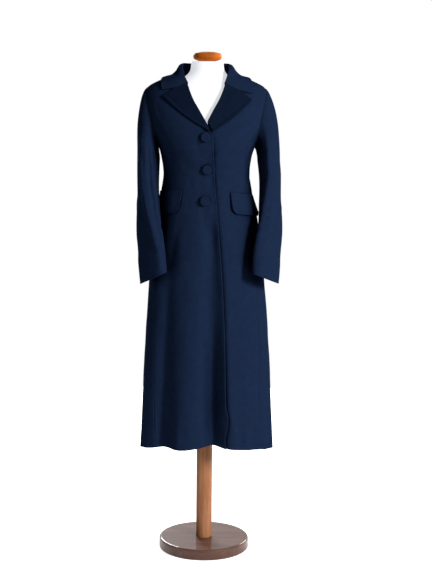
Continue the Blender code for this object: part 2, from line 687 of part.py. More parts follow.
# ------------------------------------------------------------ bust and stand
FORM = table(
    "height half front back power",
    (0.9800, 0.1500, 0.098, 0.104, 2.1),
    (0.9860, 0.1560, 0.103, 0.109, 2.1),
    (1.0500, 0.1620, 0.109, 0.115, 2.1),
    (1.1500, 0.1500, 0.107, 0.111, 2.1),
    (1.2200, 0.1360, 0.100, 0.102, 2.1),
    (1.2900, 0.1280, 0.096, 0.095, 2.1),
    (1.3400, 0.1340, 0.108, 0.096, 2.15),
    (1.3850, 0.1480, 0.122, 0.102, 2.2),
    (1.4300, 0.1600, 0.119, 0.108, 2.25),
    (1.4800, 0.1690, 0.105, 0.108, 2.25),
    (1.5200, 0.1720, 0.088, 0.100, 2.2),
    (1.5460, 0.1650, 0.076, 0.089, 2.15),
    (1.5620, 0.1500, 0.069, 0.081, 2.1),
    (1.5820, 0.1150, 0.060, 0.071, 2.0),
    (1.5960, 0.0830, 0.0545, 0.063, 2.0),
    (1.6080, 0.0650, 0.0520, 0.058, 2.0),
    (1.6220, 0.0560, 0.0505, 0.0545, 2.0),
    (1.6500, 0.0515, 0.0500, 0.0520, 2.0),
)
FORM_SIDES = 40
CAP_RADIUS = 0.0468
CAP_LOW, CAP_TOP = 1.6503, 1.6815
POLE_RADIUS = 0.0270
BASE_RADIUS, BASE_HEIGHT, BASE_EDGE = 0.1530, 0.0369, 0.0070


# ------------------------------------------------------------------ building
def clear():
    for ob in list(bpy.data.objects):
        bpy.data.objects.remove(ob, do_unlink=True)


def material(name, colour, roughness, metallic=0.0, sheen=0.0):
    m = bpy.data.materials.new(name)
    m.use_nodes = True
    b = m.node_tree.nodes["Principled BSDF"]
    b.inputs["Base Color"].default_value = (*colour, 1.0)
    b.inputs["Roughness"].default_value = roughness
    b.inputs["Metallic"].default_value = metallic
    b.inputs["Sheen Weight"].default_value = sheen
    m.diffuse_color = (*colour, 1.0)
    return m


def add(name, verts, faces, mat, smooth_angle=40):
    me = bpy.data.meshes.new(name)
    me.from_pydata([tuple(map(float, v)) for v in verts], [], faces)
    bm = bmesh.new()
    bm.from_mesh(me)
    bmesh.ops.recalc_face_normals(bm, faces=bm.faces)
    if bm.calc_volume(signed=True) < 0:
        bmesh.ops.reverse_faces(bm, faces=bm.faces)
    bm.to_mesh(me)
    bm.free()
    me.shade_smooth()
    me.set_sharp_from_angle(angle=math.radians(smooth_angle))
    ob = bpy.data.objects.new(name, me)
    me.materials.append(mat)
    coat.objects.link(ob)
    return ob


def wall(name, outer, inner, mat):
    """A piece of cloth: its two faces as equal grids of points, and its rim."""
    nu, nv = outer.shape[:2]
    verts = np.concatenate([outer.reshape(-1, 3), inner.reshape(-1, 3)])
    half = nu * nv

    def at(i, j, k=0):
        return k * half + i * nv + j

    faces = []
    for i in range(nu - 1):
        for j in range(nv - 1):
            a, b, c, d = at(i, j), at(i + 1, j), at(i + 1, j + 1), at(i, j + 1)
            faces += [(a, b, c), (a, c, d)]
            a, b, c, d = (v + half for v in (a, b, c, d))
            faces += [(a, c, b), (a, d, c)]
    rim = [(i, 0) for i in range(nu)] + [(nu - 1, j) for j in range(1, nv)]
    rim += [(i, nv - 1) for i in range(nu - 2, -1, -1)] + [(0, j) for j in range(nv - 2, 0, -1)]
    for (i, j), (k, m) in zip(rim, rim[1:] + rim[:1]):
        a, b, c, d = at(i, j), at(k, m), at(k, m, 1), at(i, j, 1)
        faces += [(a, d, c), (a, c, b)]
    return add(name, verts, faces, mat)


def cloth_wall(name, outer, normal, thick, edges, mat):
    inner = outer - normal * thick
    return wall(name, inset(outer, edges), inset(inner, edges), mat)


def loft(name, rings, mat):
    """A solid through closed rings with equal counts of points, capped flat."""
    n = len(rings[0])
    verts = np.concatenate(rings)
    faces = []
    for r in range(len(rings) - 1):
        for i in range(n):
            j = (i + 1) % n
            a, b, c, d = r * n + i, r * n + j, (r + 1) * n + j, (r + 1) * n + i
            faces += [(a, b, c), (a, c, d)]
    faces.append(tuple(range(n))[::-1])
    faces.append(tuple(range((len(rings) - 1) * n, len(rings) * n)))
    return add(name, verts, faces, mat)


def turned(name, profile, mat, steps=64, bevel=None):
    """A turned solid: the profile (radius, height) runs down its outer side."""
    me = bpy.data.meshes.new(name)
    me.from_pydata([(r, 0.0, z) for r, z in profile], [(i, i + 1) for i in range(len(profile) - 1)], [])
    ob = bpy.data.objects.new(name, me)
    me.materials.append(mat)
    coat.objects.link(ob)
    s = ob.modifiers.new("Screw", "SCREW")
    s.steps = s.render_steps = steps
    s.use_merge_vertices = True
    s.merge_threshold = 0.0001
    s.use_smooth_shade = True
    return ob


def fronts(mat):
    for side, name in ((-1, "front_right"), (1, "front_left")):
        p, n = front_outer(side, side < 0)
        cloth_wall(name, p, n, CLOTH, "u0 v1", mat)


def sides(mat):
    for side, name in ((-1, "side_panel_right"), (1, "side_panel_left")):
        deg, hgt = side_grid(side)
        cloth_wall(name, cloth(deg, hgt), body_normal(deg, hgt), CLOTH, "u0 u1", mat)


def back(mat):
    deg, hgt = back_grid()
    deg = back_angles(deg)
    cloth_wall("back", cloth(deg, hgt), body_normal(deg, hgt), CLOTH, "u0 u1", mat)


SLEEVE_SEAMS = (9, 18)        # columns of the sleeve's front and back seams


def sleeves(mat):
    for side, name in ((-1, "right"), (1, "left")):
        rows, phi = sleeve_grid(side)
        p = np.concatenate([rows, rows[:, :1]], axis=1)
        wrap = np.concatenate([rows[:, -1:], rows, rows[:, :2]], axis=1)
        n = grid_normals(wrap)[:, 1:-1]
        middle = rows.mean(axis=1, keepdims=True)
        if ((p - middle) * n).sum(-1).mean() < 0:
            n = -n
        a, b = SLEEVE_SEAMS
        m = rows.shape[1]
        upper = list(range(b, m)) + list(range(0, a + 1))
        under = list(range(a, b + 1))
        for kind, cols in (("upper", upper), ("under", under)):
            o = p[:, cols].transpose(1, 0, 2)
            q = n[:, cols].transpose(1, 0, 2)
            cloth_wall(f"{kind}_sleeve_{name}", o, q, CLOTH, "u0 u1", mat)


def collar(mat):
    p = collar_fall_grid().transpose(1, 0, 2)
    n = grid_normals(p)
    if n[len(n) // 2, 3, 2] < 0:
        n = -n
    wall("collar_fall", p, p - n * COLLAR_CLOTH, mat)
    p, n = (a.transpose(1, 0, 2) for a in stand_grid())
    wall("collar_stand", p + n * COLLAR_CLOTH, p, mat)


def lapels(mat):
    for side, name in ((-1, "lapel_right"), (1, "lapel_left")):
        low, high = lapel_outer(side)
        wall(name, high, low, mat)


def flaps(mat):
    for side, name in ((-1, "flap_right"), (1, "flap_left")):
        low, high = flap_outer(side)
        wall(name, high, low, mat)


def frame_on_front(x, z, lift):
    """Matrix of a plane lying on the top front at x, z."""
    from mathutils import Matrix, Vector

    deg = angle_x(np.array(x), np.array(z))
    p = cloth(deg, np.array(z), lift)
    n = body_normal(deg, np.array(z))
    up = np.array([0, 0, 1.0])
    right = np.cross(up, n)
    right /= np.linalg.norm(right)
    up = np.cross(n, right)
    m = Matrix([list(r) for r in np.array([right, up, n]).T]).to_4x4()
    m.translation = Vector(p)
    return m


def buttons(cloth_mat):
    for i, (z, x) in enumerate(zip(BUTTONS["height"], BUTTONS["x"]), 1):
        hole_z = z + 0.0070 if i > 1 else z - 0.0005
        w, h = BUTTONHOLE[0] / 2, BUTTONHOLE[1] / 2
        u, v = np.meshgrid(np.linspace(-w, w, 5), np.linspace(-h, h, 3), indexing="ij")
        uz = hole_z + v
        ux = x + 0.0030 + u
        deg = angle_x(ux, uz)
        if i == 1:
            ux = x - 0.0060 + u * 0.72
            deg = angle_x(ux, uz)
        wall(f"buttonhole_{i}", cloth(deg, uz, LIE + 0.0012), cloth(deg, uz, LIE + 0.0002), cloth_mat)
        r = BUTTON_RADIUS
        ob = turned(
            f"button_{i}",
            [(0.0, 0.0062), (r * 0.45, 0.0060), (r * 0.80, 0.0050), (r * 0.96, 0.0036), (r, 0.0024), (r * 0.93, 0.0011), (r * 0.55, 0.0002), (0.0, 0.0)],
            cloth_mat,
            steps=24,
        )
        ob.matrix_world = frame_on_front(x, z, 0.0040)


def bust(mat_form, mat_wood, mat_pole, mat_base):
    t = np.linspace(0, 2 * np.pi, FORM_SIDES, endpoint=False)
    rings = []
    for h, a, f, b, n in zip(*(FORM[k] for k in ("height", "half", "front", "back", "power"))):
        s, c = np.sin(t), np.cos(t)
        x = a * np.sign(s) * np.abs(s) ** (2 / n)
        y = -np.where(c > 0, f, b) * np.sign(c) * np.abs(c) ** (2 / n)
        rings.append(np.stack([x, y, np.full(len(t), h)], -1))
    loft("dress_form", rings, mat_form)
    r = CAP_RADIUS
    lo, hi = CAP_LOW, CAP_TOP
    turned(
        "neck_cap",
        [(0, hi), (r * 0.45, hi - 0.0010), (r * 0.75, hi - 0.0042), (r * 0.93, hi - 0.0092), (r, hi - 0.0155),
         (r * 0.965, hi - 0.0220), (r * 0.86, hi - 0.0272), (r * 0.70, hi - 0.0300), (r * 0.62, lo), (0, lo)],
        mat_wood,
        steps=48,
    )
    bpy.ops.mesh.primitive_cylinder_add(
        vertices=48, radius=POLE_RADIUS, depth=FORM["height"][0] - BASE_HEIGHT - 0.0006,
        location=(0, 0, (FORM["height"][0] + BASE_HEIGHT) / 2),
    )
    pole = bpy.context.object
    pole.name = pole.data.name = "pole"
    pole.data.materials.append(mat_pole)
    pole.data.shade_smooth()
    pole.data.set_sharp_from_angle(angle=math.radians(40))
    for c in list(pole.users_collection):
        c.objects.unlink(pole)
    coat.objects.link(pole)
    r, h, e = BASE_RADIUS, BASE_HEIGHT, BASE_EDGE
    arc = [(r - e + e * math.sin(a), h - e + e * math.cos(a)) for a in (0, math.pi / 8, math.pi / 4, 3 * math.pi / 8, math.pi / 2)]
    turned("base", [(0, h)] + arc + [(r, 0.003), (r - 0.003, 0.0), (0, 0.0)], mat_base, steps=72)


clear()
coat = bpy.data.collections.new("wool_overcoat_on_bust")
bpy.context.scene.collection.children.link(coat)
wool = material("navy_wool", (0.0110, 0.0215, 0.0500), 0.92, sheen=0.25)
wool_trim = material("navy_wool_trim", (0.0100, 0.0190, 0.0450), 0.90, sheen=0.25)
jersey = material("white_jersey", (0.86, 0.87, 0.88), 0.85)
cherry = material("varnished_wood", (0.36, 0.115, 0.040), 0.30)
beech = material("pole_wood", (0.40, 0.19, 0.095), 0.35)
dark_wood = material("base_wood", (0.16, 0.105, 0.085), 0.22)
fronts(wool)
sides(wool)
back(wool)
sleeves(wool)
collar(wool)
lapels(wool)
flaps(wool)
buttons(wool_trim)
bust(jersey, cherry, beech, dark_wood)
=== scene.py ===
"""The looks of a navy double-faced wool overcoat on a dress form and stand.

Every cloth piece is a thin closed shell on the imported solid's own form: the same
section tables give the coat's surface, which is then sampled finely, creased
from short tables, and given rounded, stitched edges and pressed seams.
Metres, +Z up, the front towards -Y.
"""

import math

import bpy
import numpy as np
from mathutils import Matrix, Vector


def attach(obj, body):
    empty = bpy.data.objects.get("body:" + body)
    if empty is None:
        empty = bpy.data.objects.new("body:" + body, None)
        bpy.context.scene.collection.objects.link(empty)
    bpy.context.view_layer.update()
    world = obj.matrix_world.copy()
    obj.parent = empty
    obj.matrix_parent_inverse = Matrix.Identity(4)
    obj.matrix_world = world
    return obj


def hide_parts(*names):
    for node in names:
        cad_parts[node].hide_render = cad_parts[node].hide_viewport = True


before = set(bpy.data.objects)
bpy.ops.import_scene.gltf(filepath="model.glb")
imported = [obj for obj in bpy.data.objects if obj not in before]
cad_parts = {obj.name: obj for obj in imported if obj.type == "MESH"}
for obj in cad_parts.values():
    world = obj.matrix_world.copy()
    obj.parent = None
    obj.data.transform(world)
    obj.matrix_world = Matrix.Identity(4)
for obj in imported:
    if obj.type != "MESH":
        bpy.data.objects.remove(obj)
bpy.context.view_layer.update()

# ---------------------------------------------------------------- sizes (m)
CLOTH = 0.0024            # wall of the coating
COLLAR_CLOTH = 0.0022     # wall of the collar and lapels
FLAP_CLOTH = 0.0026       # two layers of coating pressed together
SEAM = 0.00017            # each piece stops this far from the seam line
LIE = 0.0012              # clearance under a piece that lies on a panel
UNDER = 0.0036            # how deep the under front runs below the top front

HEM = 0.366               # mean height of the hem above the floor
ARMPIT = 1.372
TIP = 1.566               # shoulder tip
NECK_SIDE = 1.6215        # shoulder seam at the neck
NECK_BACK = 1.6040        # neckline at centre back
BREAK = 1.4286            # where the lapels begin to roll
V_POINT = 1.4555          # where the two roll lines cross


def table(columns, *rows):
    """A short table: a dict of arrays by column name."""
    names = columns.split()
    return {n: np.array([float(r[i]) for r in rows]) for i, n in enumerate(names)}


def smooth(t):
    t = np.clip(t, 0.0, 1.0)
    return t * t * (3.0 - 2.0 * t)


def curve(x, y):
    """A monotone cubic through the points of a table's two columns."""
    x, y = np.asarray(x, float), np.asarray(y, float)
    order = np.argsort(x)
    x, y = x[order], y[order]
    h, d = np.diff(x), np.diff(y) / np.diff(x)
    m = np.zeros_like(x)
    for i in range(1, len(x) - 1):
        if d[i - 1] * d[i] > 0:
            w1, w2 = 2 * h[i] + h[i - 1], h[i] + 2 * h[i - 1]
            m[i] = (w1 + w2) / (w1 / d[i - 1] + w2 / d[i])
    m[0], m[-1] = d[0], d[-1]

    def at(v):
        v = np.asarray(v, float)
        c = np.clip(v, x[0], x[-1])
        i = np.clip(np.searchsorted(x, c, side="right") - 1, 0, len(x) - 2)
        t = (c - x[i]) / h[i]
        return (
            (1 + 2 * t) * (1 - t) ** 2 * y[i]
            + t * (1 - t) ** 2 * h[i] * m[i]
            + t * t * (3 - 2 * t) * y[i + 1]
            + t * t * (t - 1) * h[i] * m[i + 1]
        )

    return at


# The cloth's outer face, ring by ring. shift is the ring's centre in x, power
# the roundness of the ring (2 is an ellipse, more is squarer).
BODY = table(
    "height half front back power shift",
    (0.330, 0.2255, 0.141, 0.142, 2.10, 0.0065),
    (0.700, 0.2088, 0.137, 0.139, 2.10, 0.0053),
    (0.915, 0.1938, 0.131, 0.135, 2.10, 0.0035),
    (1.050, 0.1810, 0.127, 0.131, 2.10, 0.0020),
    (1.150, 0.1665, 0.125, 0.127, 2.15, 0.0010),
    (1.220, 0.1515, 0.118, 0.118, 2.20, 0.0000),
    (1.290, 0.1430, 0.112, 0.108, 2.20, -0.0005),
    (1.340, 0.1490, 0.123, 0.108, 2.25, -0.0005),
    (1.385, 0.1630, 0.135, 0.114, 2.30, 0.0000),
    (1.430, 0.1820, 0.132, 0.120, 2.35, 0.0000),
    (1.480, 0.1960, 0.118, 0.120, 2.35, -0.0020),
    (1.525, 0.2025, 0.099, 0.111, 2.30, -0.0030),
    (1.553, 0.1990, 0.083, 0.098, 2.20, -0.0030),
    (1.568, 0.1885, 0.075, 0.090, 2.15, -0.0030),
    (1.590, 0.1470, 0.067, 0.081, 2.10, -0.0040),
    (1.612, 0.0925, 0.062, 0.075, 2.05, -0.0050),
    (1.640, 0.0670, 0.058, 0.071, 2.00, -0.0050),
)
ring = {n: curve(BODY["height"], BODY[n]) for n in BODY if n != "height"}

# Hanging folds of the skirt: angle at the hem (0 is centre front, + to +X),
# its width and drift up the skirt in degrees, how far it stands out (+) or in
# (-), and the height where it starts.
FOLDS = table(
    "angle width drift depth top",
    (5.0, 5.2, -5.3, -0.0340, 1.180),
    (17.5, 6.5, -8.0, 0.0090, 1.080),
    (-19.0, 9.0, 3.0, 0.0100, 1.130),
    (-41.0, 7.2, 1.0, -0.0210, 1.150),
    (-64.0, 10.0, 0.0, 0.0070, 1.000),
    (41.0, 10.0, -2.0, 0.0035, 1.050),
    (72.0, 9.0, 0.0, -0.0050, 0.950),
    (112.0, 11.0, 2.0, 0.0085, 1.100),
    (141.0, 9.0, -3.0, -0.0100, 1.050),
    (168.0, 11.0, -1.0, 0.0075, 1.120),
    (-161.0, 9.0, 2.0, -0.0110, 1.140),
    (-133.0, 10.0, 3.0, 0.0090, 1.050),
    (-106.0, 9.0, 0.0, -0.0055, 1.000),
)


def folds(deg, z):
    """How far the skirt stands off its plain ring at this angle and height."""
    out = np.zeros(np.broadcast(deg, z).shape)
    for a, w, dr, dp, top in zip(*(FOLDS[n] for n in ("angle", "width", "drift", "depth", "top"))):
        up = np.clip((z - HEM) / (top - HEM), 0.0, 1.0)
        off = (deg - (a + dr * up) + 180.0) % 360.0 - 180.0
        out = out + dp * smooth(1.0 - up) ** 0.8 * np.exp(-0.5 * (off / (w * (1 - 0.35 * up))) ** 2)
    return out


def flat_ring(deg, z):
    """The plain ring: its point, its normal in the ring's plane."""
    t = np.radians(deg)
    s, c = np.sin(t), np.cos(t)
    a, n = ring["half"](z), ring["power"](z)
    f = np.where(c > 0, ring["front"](z), ring["back"](z))
    x = a * np.sign(s) * np.abs(s) ** (2 / n)
    y = -f * np.sign(c) * np.abs(c) ** (2 / n)
    gx = np.sign(s) * np.abs(s) ** (2 - 2 / n) / a
    gy = -np.sign(c) * np.abs(c) ** (2 - 2 / n) / f
    g = np.hypot(gx, gy)
    return x, y, gx / g, gy / g


def body(deg, z, out=0.0):
    """A point of the coat's outer face; the argument `out` is not used."""
    deg, z = np.broadcast_arrays(np.asarray(deg, float), np.asarray(z, float))
    x, y, nx, ny = flat_ring(deg, z)
    d = folds(deg, z)
    return np.stack([x + nx * d + ring["shift"](z), y + ny * d, z], -1)


def body_normal(deg, z, step=0.4, rise=0.0015):
    du = body(deg + step, z) - body(deg - step, z)
    dv = body(deg, z + rise) - body(deg, z - rise)
    n = np.cross(du, dv)
    return n / np.linalg.norm(n, axis=-1, keepdims=True)


def cloth(deg, z, lift=0.0):
    """The coat's outer face moved out by `lift` along its own normal."""
    lift = np.asarray(lift, float)
    return body(deg, z) + body_normal(deg, z) * lift[..., None]


def angle_x(x, z):
    """Angle on the front of the ring at height z for a distance x from its centre."""
    q = np.clip(np.abs(x) / ring["half"](z), 0, 1)
    return np.sign(x) * np.degrees(np.arcsin(q ** (ring["power"](z) / 2)))


def angle_y(y, z):
    """Angle (0 to 180) of the ring's point at depth y."""
    y = np.asarray(y, float)
    f = np.where(y < 0, ring["front"](z), ring["back"](z))
    q = np.clip(np.abs(y) / f, 0, 1) ** (ring["power"](z) / 2)
    a = np.degrees(np.arccos(q))
    return np.where(y < 0, a, 180.0 - a)


HEM_LINE = table(
    "angle height",
    (-180, 0.366), (-135, 0.362), (-90, 0.3595), (-62, 0.3665), (-40, 0.3755),
    (-22, 0.3760), (-9, 0.3810), (4, 0.3870), (12, 0.3840), (19, 0.3800),
    (32, 0.3745), (50, 0.3690), (70, 0.3590), (90, 0.3525), (135, 0.3590), (180, 0.366),
)
hem_height = curve(HEM_LINE["angle"], HEM_LINE["height"])

# Seams between the front, the side panel and the back, as angles by height.
SEAMS = table(
    "height front back",
    (0.330, 50.0, 131.0),
    (0.780, 57.0, 126.0),
    (1.000, 59.0, 123.0),
    (1.200, 62.0, 119.0),
    (1.290, 65.0, 116.0),
    (1.392, 74.6, 113.0),
)
ARM_FRONT = (1.392, -0.040)
ARM_BACK = (1.398, 0.050)
seam_front = curve(SEAMS["height"], SEAMS["front"])
seam_back = curve(SEAMS["height"], SEAMS["back"])

# The front edge of the top front below the lapel: distance from the centre.
EDGE = table(
    "height x",
    (0.330, 0.0665), (0.386, 0.0650), (0.408, 0.0630), (0.430, 0.0665), (0.452, 0.0700), (0.487, 0.0710),
    (0.527, 0.0645), (0.607, 0.0625), (0.760, 0.0590), (0.950, 0.0508), (1.190, 0.0338),
    (1.270, 0.0275), (1.320, 0.0252), (1.392, 0.0222), (1.414, 0.0208),
)
front_edge = curve(EDGE["height"], EDGE["x"])
UNDER_EDGE = -0.030       # the under front's edge, out of sight

# Rows of the upper front: the armhole on one side (height, depth), the front
# edge, roll line and neckline on the other (height, distance from centre).
UPPER_FRONT = table(
    "arm_z arm_y edge_z edge_x",
    (1.392, -0.0400, 1.3920, -0.0222),
    (1.407, -0.0495, 1.4140, -0.0208),
    (1.428, -0.0565, 1.4286, -0.0125),
    (1.452, -0.0580, 1.4555, 0.0000),
    (1.476, -0.0550, 1.4780, 0.0122),
    (1.500, -0.0485, 1.5020, 0.0258),
    (1.523, -0.0385, 1.5270, 0.0403),
    (1.543, -0.0262, 1.5530, 0.0517),
    (1.5575, -0.0125, 1.5780, 0.0600),
    (1.5635, -0.0050, 1.6000, 0.0700),
    (1.566, 0.0000, 1.6215, 0.0800),
)
GORGE = 8                 # the row whose edge point is the gorge
ROLL = table(
    "height x",
    (1.4286, -0.0125), (1.4555, 0.0), (1.4780, 0.0122), (1.5020, 0.0258),
    (1.5270, 0.0403), (1.5530, 0.0517), (1.5780, 0.0600), (1.6030, 0.0695),
)
roll_x = curve(ROLL["height"], ROLL["x"])

# Rows of the upper back: the armhole, then the shoulder seam.
UPPER_BACK = table(
    "arm_z arm_y",
    (1.398, 0.0500), (1.420, 0.0600), (1.446, 0.0660), (1.474, 0.0665), (1.502, 0.0610),
    (1.528, 0.0500), (1.549, 0.0330), (1.561, 0.0150), (1.566, 0.0), (1.584, 0.0), (1.603, 0.0), (1.6215, 0.0),
)
UNDERARM = table(
    "y height",
    (-0.0400, 1.392), (-0.0270, 1.3805), (-0.0100, 1.3735), (0.0060, 1.3720), (0.0250, 1.3765), (0.0400, 1.3870), (0.0500, 1.398),
)
underarm_height = curve(UNDERARM["y"], UNDERARM["height"])


def grid_normals(p):
    """Normals of a grid of points from its neighbours."""
    du = np.gradient(p, axis=0)
    dv = np.gradient(p, axis=1)
    n = np.cross(du, dv)
    return n / np.maximum(np.linalg.norm(n, axis=-1, keepdims=True), 1e-12)


# ------------------------------------------------------- pieces as grids
LOW_ROWS = [None, 0.470, 0.580, 0.690, 0.800, 0.900, 0.990, 1.070, 1.140, 1.195, 1.240, 1.276, 1.306, 1.335, 1.364]


def spread(a, b, n, ease=0.0):
    t = np.linspace(0, 1, n)
    return a + (b - a) * (t + ease * np.sin(2 * np.pi * t) / (2 * np.pi))


def low_front_edge(z, top):
    """Angle of the front's edge (measured on its own side, minus is across centre)."""
    if top:
        return -angle_x(front_edge(z), z)
    return angle_x(UNDER_EDGE, z)


def front_grid(side, top, cols=14):
    """Angle and height grid of a front: columns from the side seam to the edge."""
    deg, hgt = [], []
    share = 1.0 - (1.0 - np.linspace(0, 1, cols)) ** 1.3   # closer together by the edge
    for z in LOW_ROWS:
        zz = HEM if z is None else z
        a = float(seam_front(zz))
        d = a + (float(low_front_edge(zz, top)) - a) * share
        deg.append(d)
        hgt.append(hem_height(side * d) if z is None else np.full(cols, z))
    for i in range(len(UPPER_FRONT["arm_z"])):
        az, ay = UPPER_FRONT["arm_z"][i], UPPER_FRONT["arm_y"][i]
        ez, ex = UPPER_FRONT["edge_z"][i], UPPER_FRONT["edge_x"][i]
        if not top and i < 2:
            ex = UNDER_EDGE + 0.008 * i
        d0 = 90.0 if ay == 0 else float(angle_y(ay, az))
        d1 = 90.0 if i == len(UPPER_FRONT["arm_z"]) - 1 else float(angle_x(ex, ez))
        mix = share + (np.linspace(0, 1, cols) - share) * (i / 10.0)
        deg.append(d0 + (d1 - d0) * mix)
        hgt.append(az + (ez - az) * mix)
    return side * np.array(deg).T, np.array(hgt).T


def under_lift(deg, z):
    """The under front runs behind the top one and comes level beyond its edge."""
    x = body(deg, z)[..., 0] - ring["shift"](z)
    edge = np.where(z < 1.414, front_edge(np.minimum(z, 1.414)), -roll_x(np.clip(z, 1.4286, 1.60)))
    fade = 1.0 - smooth((x - edge - 0.008) / 0.045)
    deep = UNDER * (1.0 + 0.35 * smooth((1.15 - z) / 0.25))
    return -deep * fade * (1.0 - smooth((z - 1.470) / 0.045))


def side_grid(side, cols=7):
    deg, hgt = [], []
    for z in LOW_ROWS:
        zz = HEM if z is None else z
        d = spread(float(seam_front(zz)), float(seam_back(zz)), cols)
        deg.append(d)
        hgt.append(hem_height(side * d) if z is None else np.full(cols, z))
    y = UNDERARM["y"]
    z = UNDERARM["height"]
    deg[-1] = spread(float(seam_front(1.364)), float(seam_back(1.364)), cols)
    deg.append(angle_y(y, z))
    hgt.append(z)
    hgt[-2] = np.full(cols, 1.364) - 0.010 * np.sin(np.pi * np.linspace(0, 1, cols))
    return side * np.array(deg).T, np.array(hgt).T


def neck_height(deg):
    """The back neckline, from the shoulder seam round to centre back."""
    t = smooth((180.0 - np.abs(np.abs(deg) - 180.0) - 90.0) / 90.0 * 1.0)
    t = smooth(1 - np.abs(180.0 - np.abs(deg)) / 90.0)
    return NECK_SIDE + (NECK_BACK - NECK_SIDE) * t


def back_grid(cols=19):
    """The back in one piece, columns from the viewer's left to the right."""
    deg, hgt = [], []
    for z in LOW_ROWS:
        zz = HEM if z is None else z
        s = float(seam_back(zz))
        d = spread(s, 360.0 - s, cols)
        deg.append(d)
        w = np.where(d > 180.0, d - 360.0, d)
        hgt.append(hem_height(w) if z is None else np.full(cols, z))
    n = len(UPPER_BACK["arm_z"])
    for i in range(n):
        az, ay = UPPER_BACK["arm_z"][i], UPPER_BACK["arm_y"][i]
        s = 90.0 if ay == 0 else float(angle_y(ay, az))
        d = spread(s, 360.0 - s, cols)
        deg.append(d)
        drop = smooth((i - 4) / (n - 5.0))
        w = np.where(d > 180.0, 360.0 - d, d)
        lowered = neck_height(w) - NECK_SIDE
        hgt.append(az + drop * lowered * (1.0 if i == n - 1 else 0.9))
    return np.array(deg).T, np.array(hgt).T


def inset(p, edges):
    """Draws the named edges of a grid in from the seam line."""
    q = p.copy()

    def pull(a, b):
        d = b - a
        return a + d / np.maximum(np.linalg.norm(d, axis=-1, keepdims=True), 1e-9) * SEAM

    if "u0" in edges:
        q[0] = pull(p[0], p[1])
    if "u1" in edges:
        q[-1] = pull(p[-1], p[-2])
    p = q.copy()
    if "v0" in edges:
        q[:, 0] = pull(p[:, 0], p[:, 1])
    if "v1" in edges:
        q[:, -1] = pull(p[:, -1], p[:, -2])
    return q


def armhole(side):
    """The armhole's seam points: shoulder tip, down the front, under, up the back."""
    pts = []
    rows = list(zip(UPPER_FRONT["arm_z"], UPPER_FRONT["arm_y"]))[::-1]
    pts += [(90.0 if y == 0 else float(angle_y(y, z)), z) for z, y in rows]
    pts += [(float(angle_y(y, z)), z) for y, z in zip(UNDERARM["y"][1:-1], UNDERARM["height"][1:-1])]
    pts += [(90.0 if y == 0 else float(angle_y(y, z)), z) for z, y in zip(UPPER_BACK["arm_z"][:8], UPPER_BACK["arm_y"][:8])]
    d, z = np.array(pts).T
    return side * d, z


# The sleeve's sections: the centre's height, its distance from the middle on
# each side, its depth on each side, half the long and short ways across, the
# turn of the long way from straight ahead to inwards, how far the ring tips up
# at its front end on each side, and how far its outer side drops.
SLEEVE = table(
    "height out_left out_right y_left y_right long short turn tip_left tip_right drop",
    (1.330, 0.1925, 0.2045, 0.004, 0.004, 0.0800, 0.0375, 0.0, 0.00, 0.00, 0.00),
    (1.275, 0.1920, 0.2095, -0.006, -0.002, 0.0775, 0.0365, 2.0, 0.02, 0.02, 0.00),
    (1.220, 0.1915, 0.2105, -0.030, -0.012, 0.0740, 0.0350, 8.0, 0.06, 0.05, 0.02),
    (1.168, 0.1905, 0.2110, -0.060, -0.030, 0.0705, 0.0335, 17.0, 0.14, 0.11, 0.05),
    (1.115, 0.1870, 0.2095, -0.081, -0.054, 0.0670, 0.0315, 26.0, 0.24, 0.19, 0.09),
    (1.062, 0.1815, 0.2050, -0.094, -0.074, 0.0635, 0.0295, 34.0, 0.33, 0.26, 0.13),
    (1.010, 0.1765, 0.1995, -0.103, -0.090, 0.0600, 0.0275, 41.0, 0.39, 0.32, 0.16),
    (0.9500, 0.1705, 0.1950, -0.112, -0.103, 0.0560, 0.0250, 45.0, 0.42, 0.36, 0.18),
)
sleeve_at = {n: curve(SLEEVE["height"], SLEEVE[n]) for n in SLEEVE if n != "height"}
CAP_TURNS = (0.0, 0.09, 0.20, 0.33, 0.48, 0.65, 0.82, 1.0)
SLEEVE_TOP = 1.330


def sleeve_ring(side, phi, z, shrink=0.0):
    """A point of a sleeve's section: phi 0 is outside, 90 the front, 180 the body side."""
    name = "out_left" if side < 0 else "out_right"
    cx, cy = sleeve_at[name](z), sleeve_at["y_left" if side < 0 else "y_right"](z)
    m, k = sleeve_at["long"](z) - shrink, sleeve_at["short"](z) - shrink
    r = np.radians(sleeve_at["turn"](z))
    t = np.radians(phi)
    n = 2.25
    along = m * np.sign(np.sin(t)) * np.abs(np.sin(t)) ** (2 / n)
    across = k * np.sign(np.cos(t)) * np.abs(np.cos(t)) ** (2 / n)
    x = side * (cx + across * np.cos(r) - along * np.sin(r))
    y = cy - along * np.cos(r) - across * np.sin(r)
    tip = sleeve_at["tip_left" if side < 0 else "tip_right"](z)
    return np.stack([x, y, z + along * tip - across * sleeve_at["drop"](z)], -1)


def loop_fraction(points):
    """Share of the way round a closed loop, 0 to 1."""
    d = np.linalg.norm(np.diff(np.vstack([points, points[:1]]), axis=0), axis=1)
    return np.concatenate([[0], np.cumsum(d)])[:-1] / d.sum()


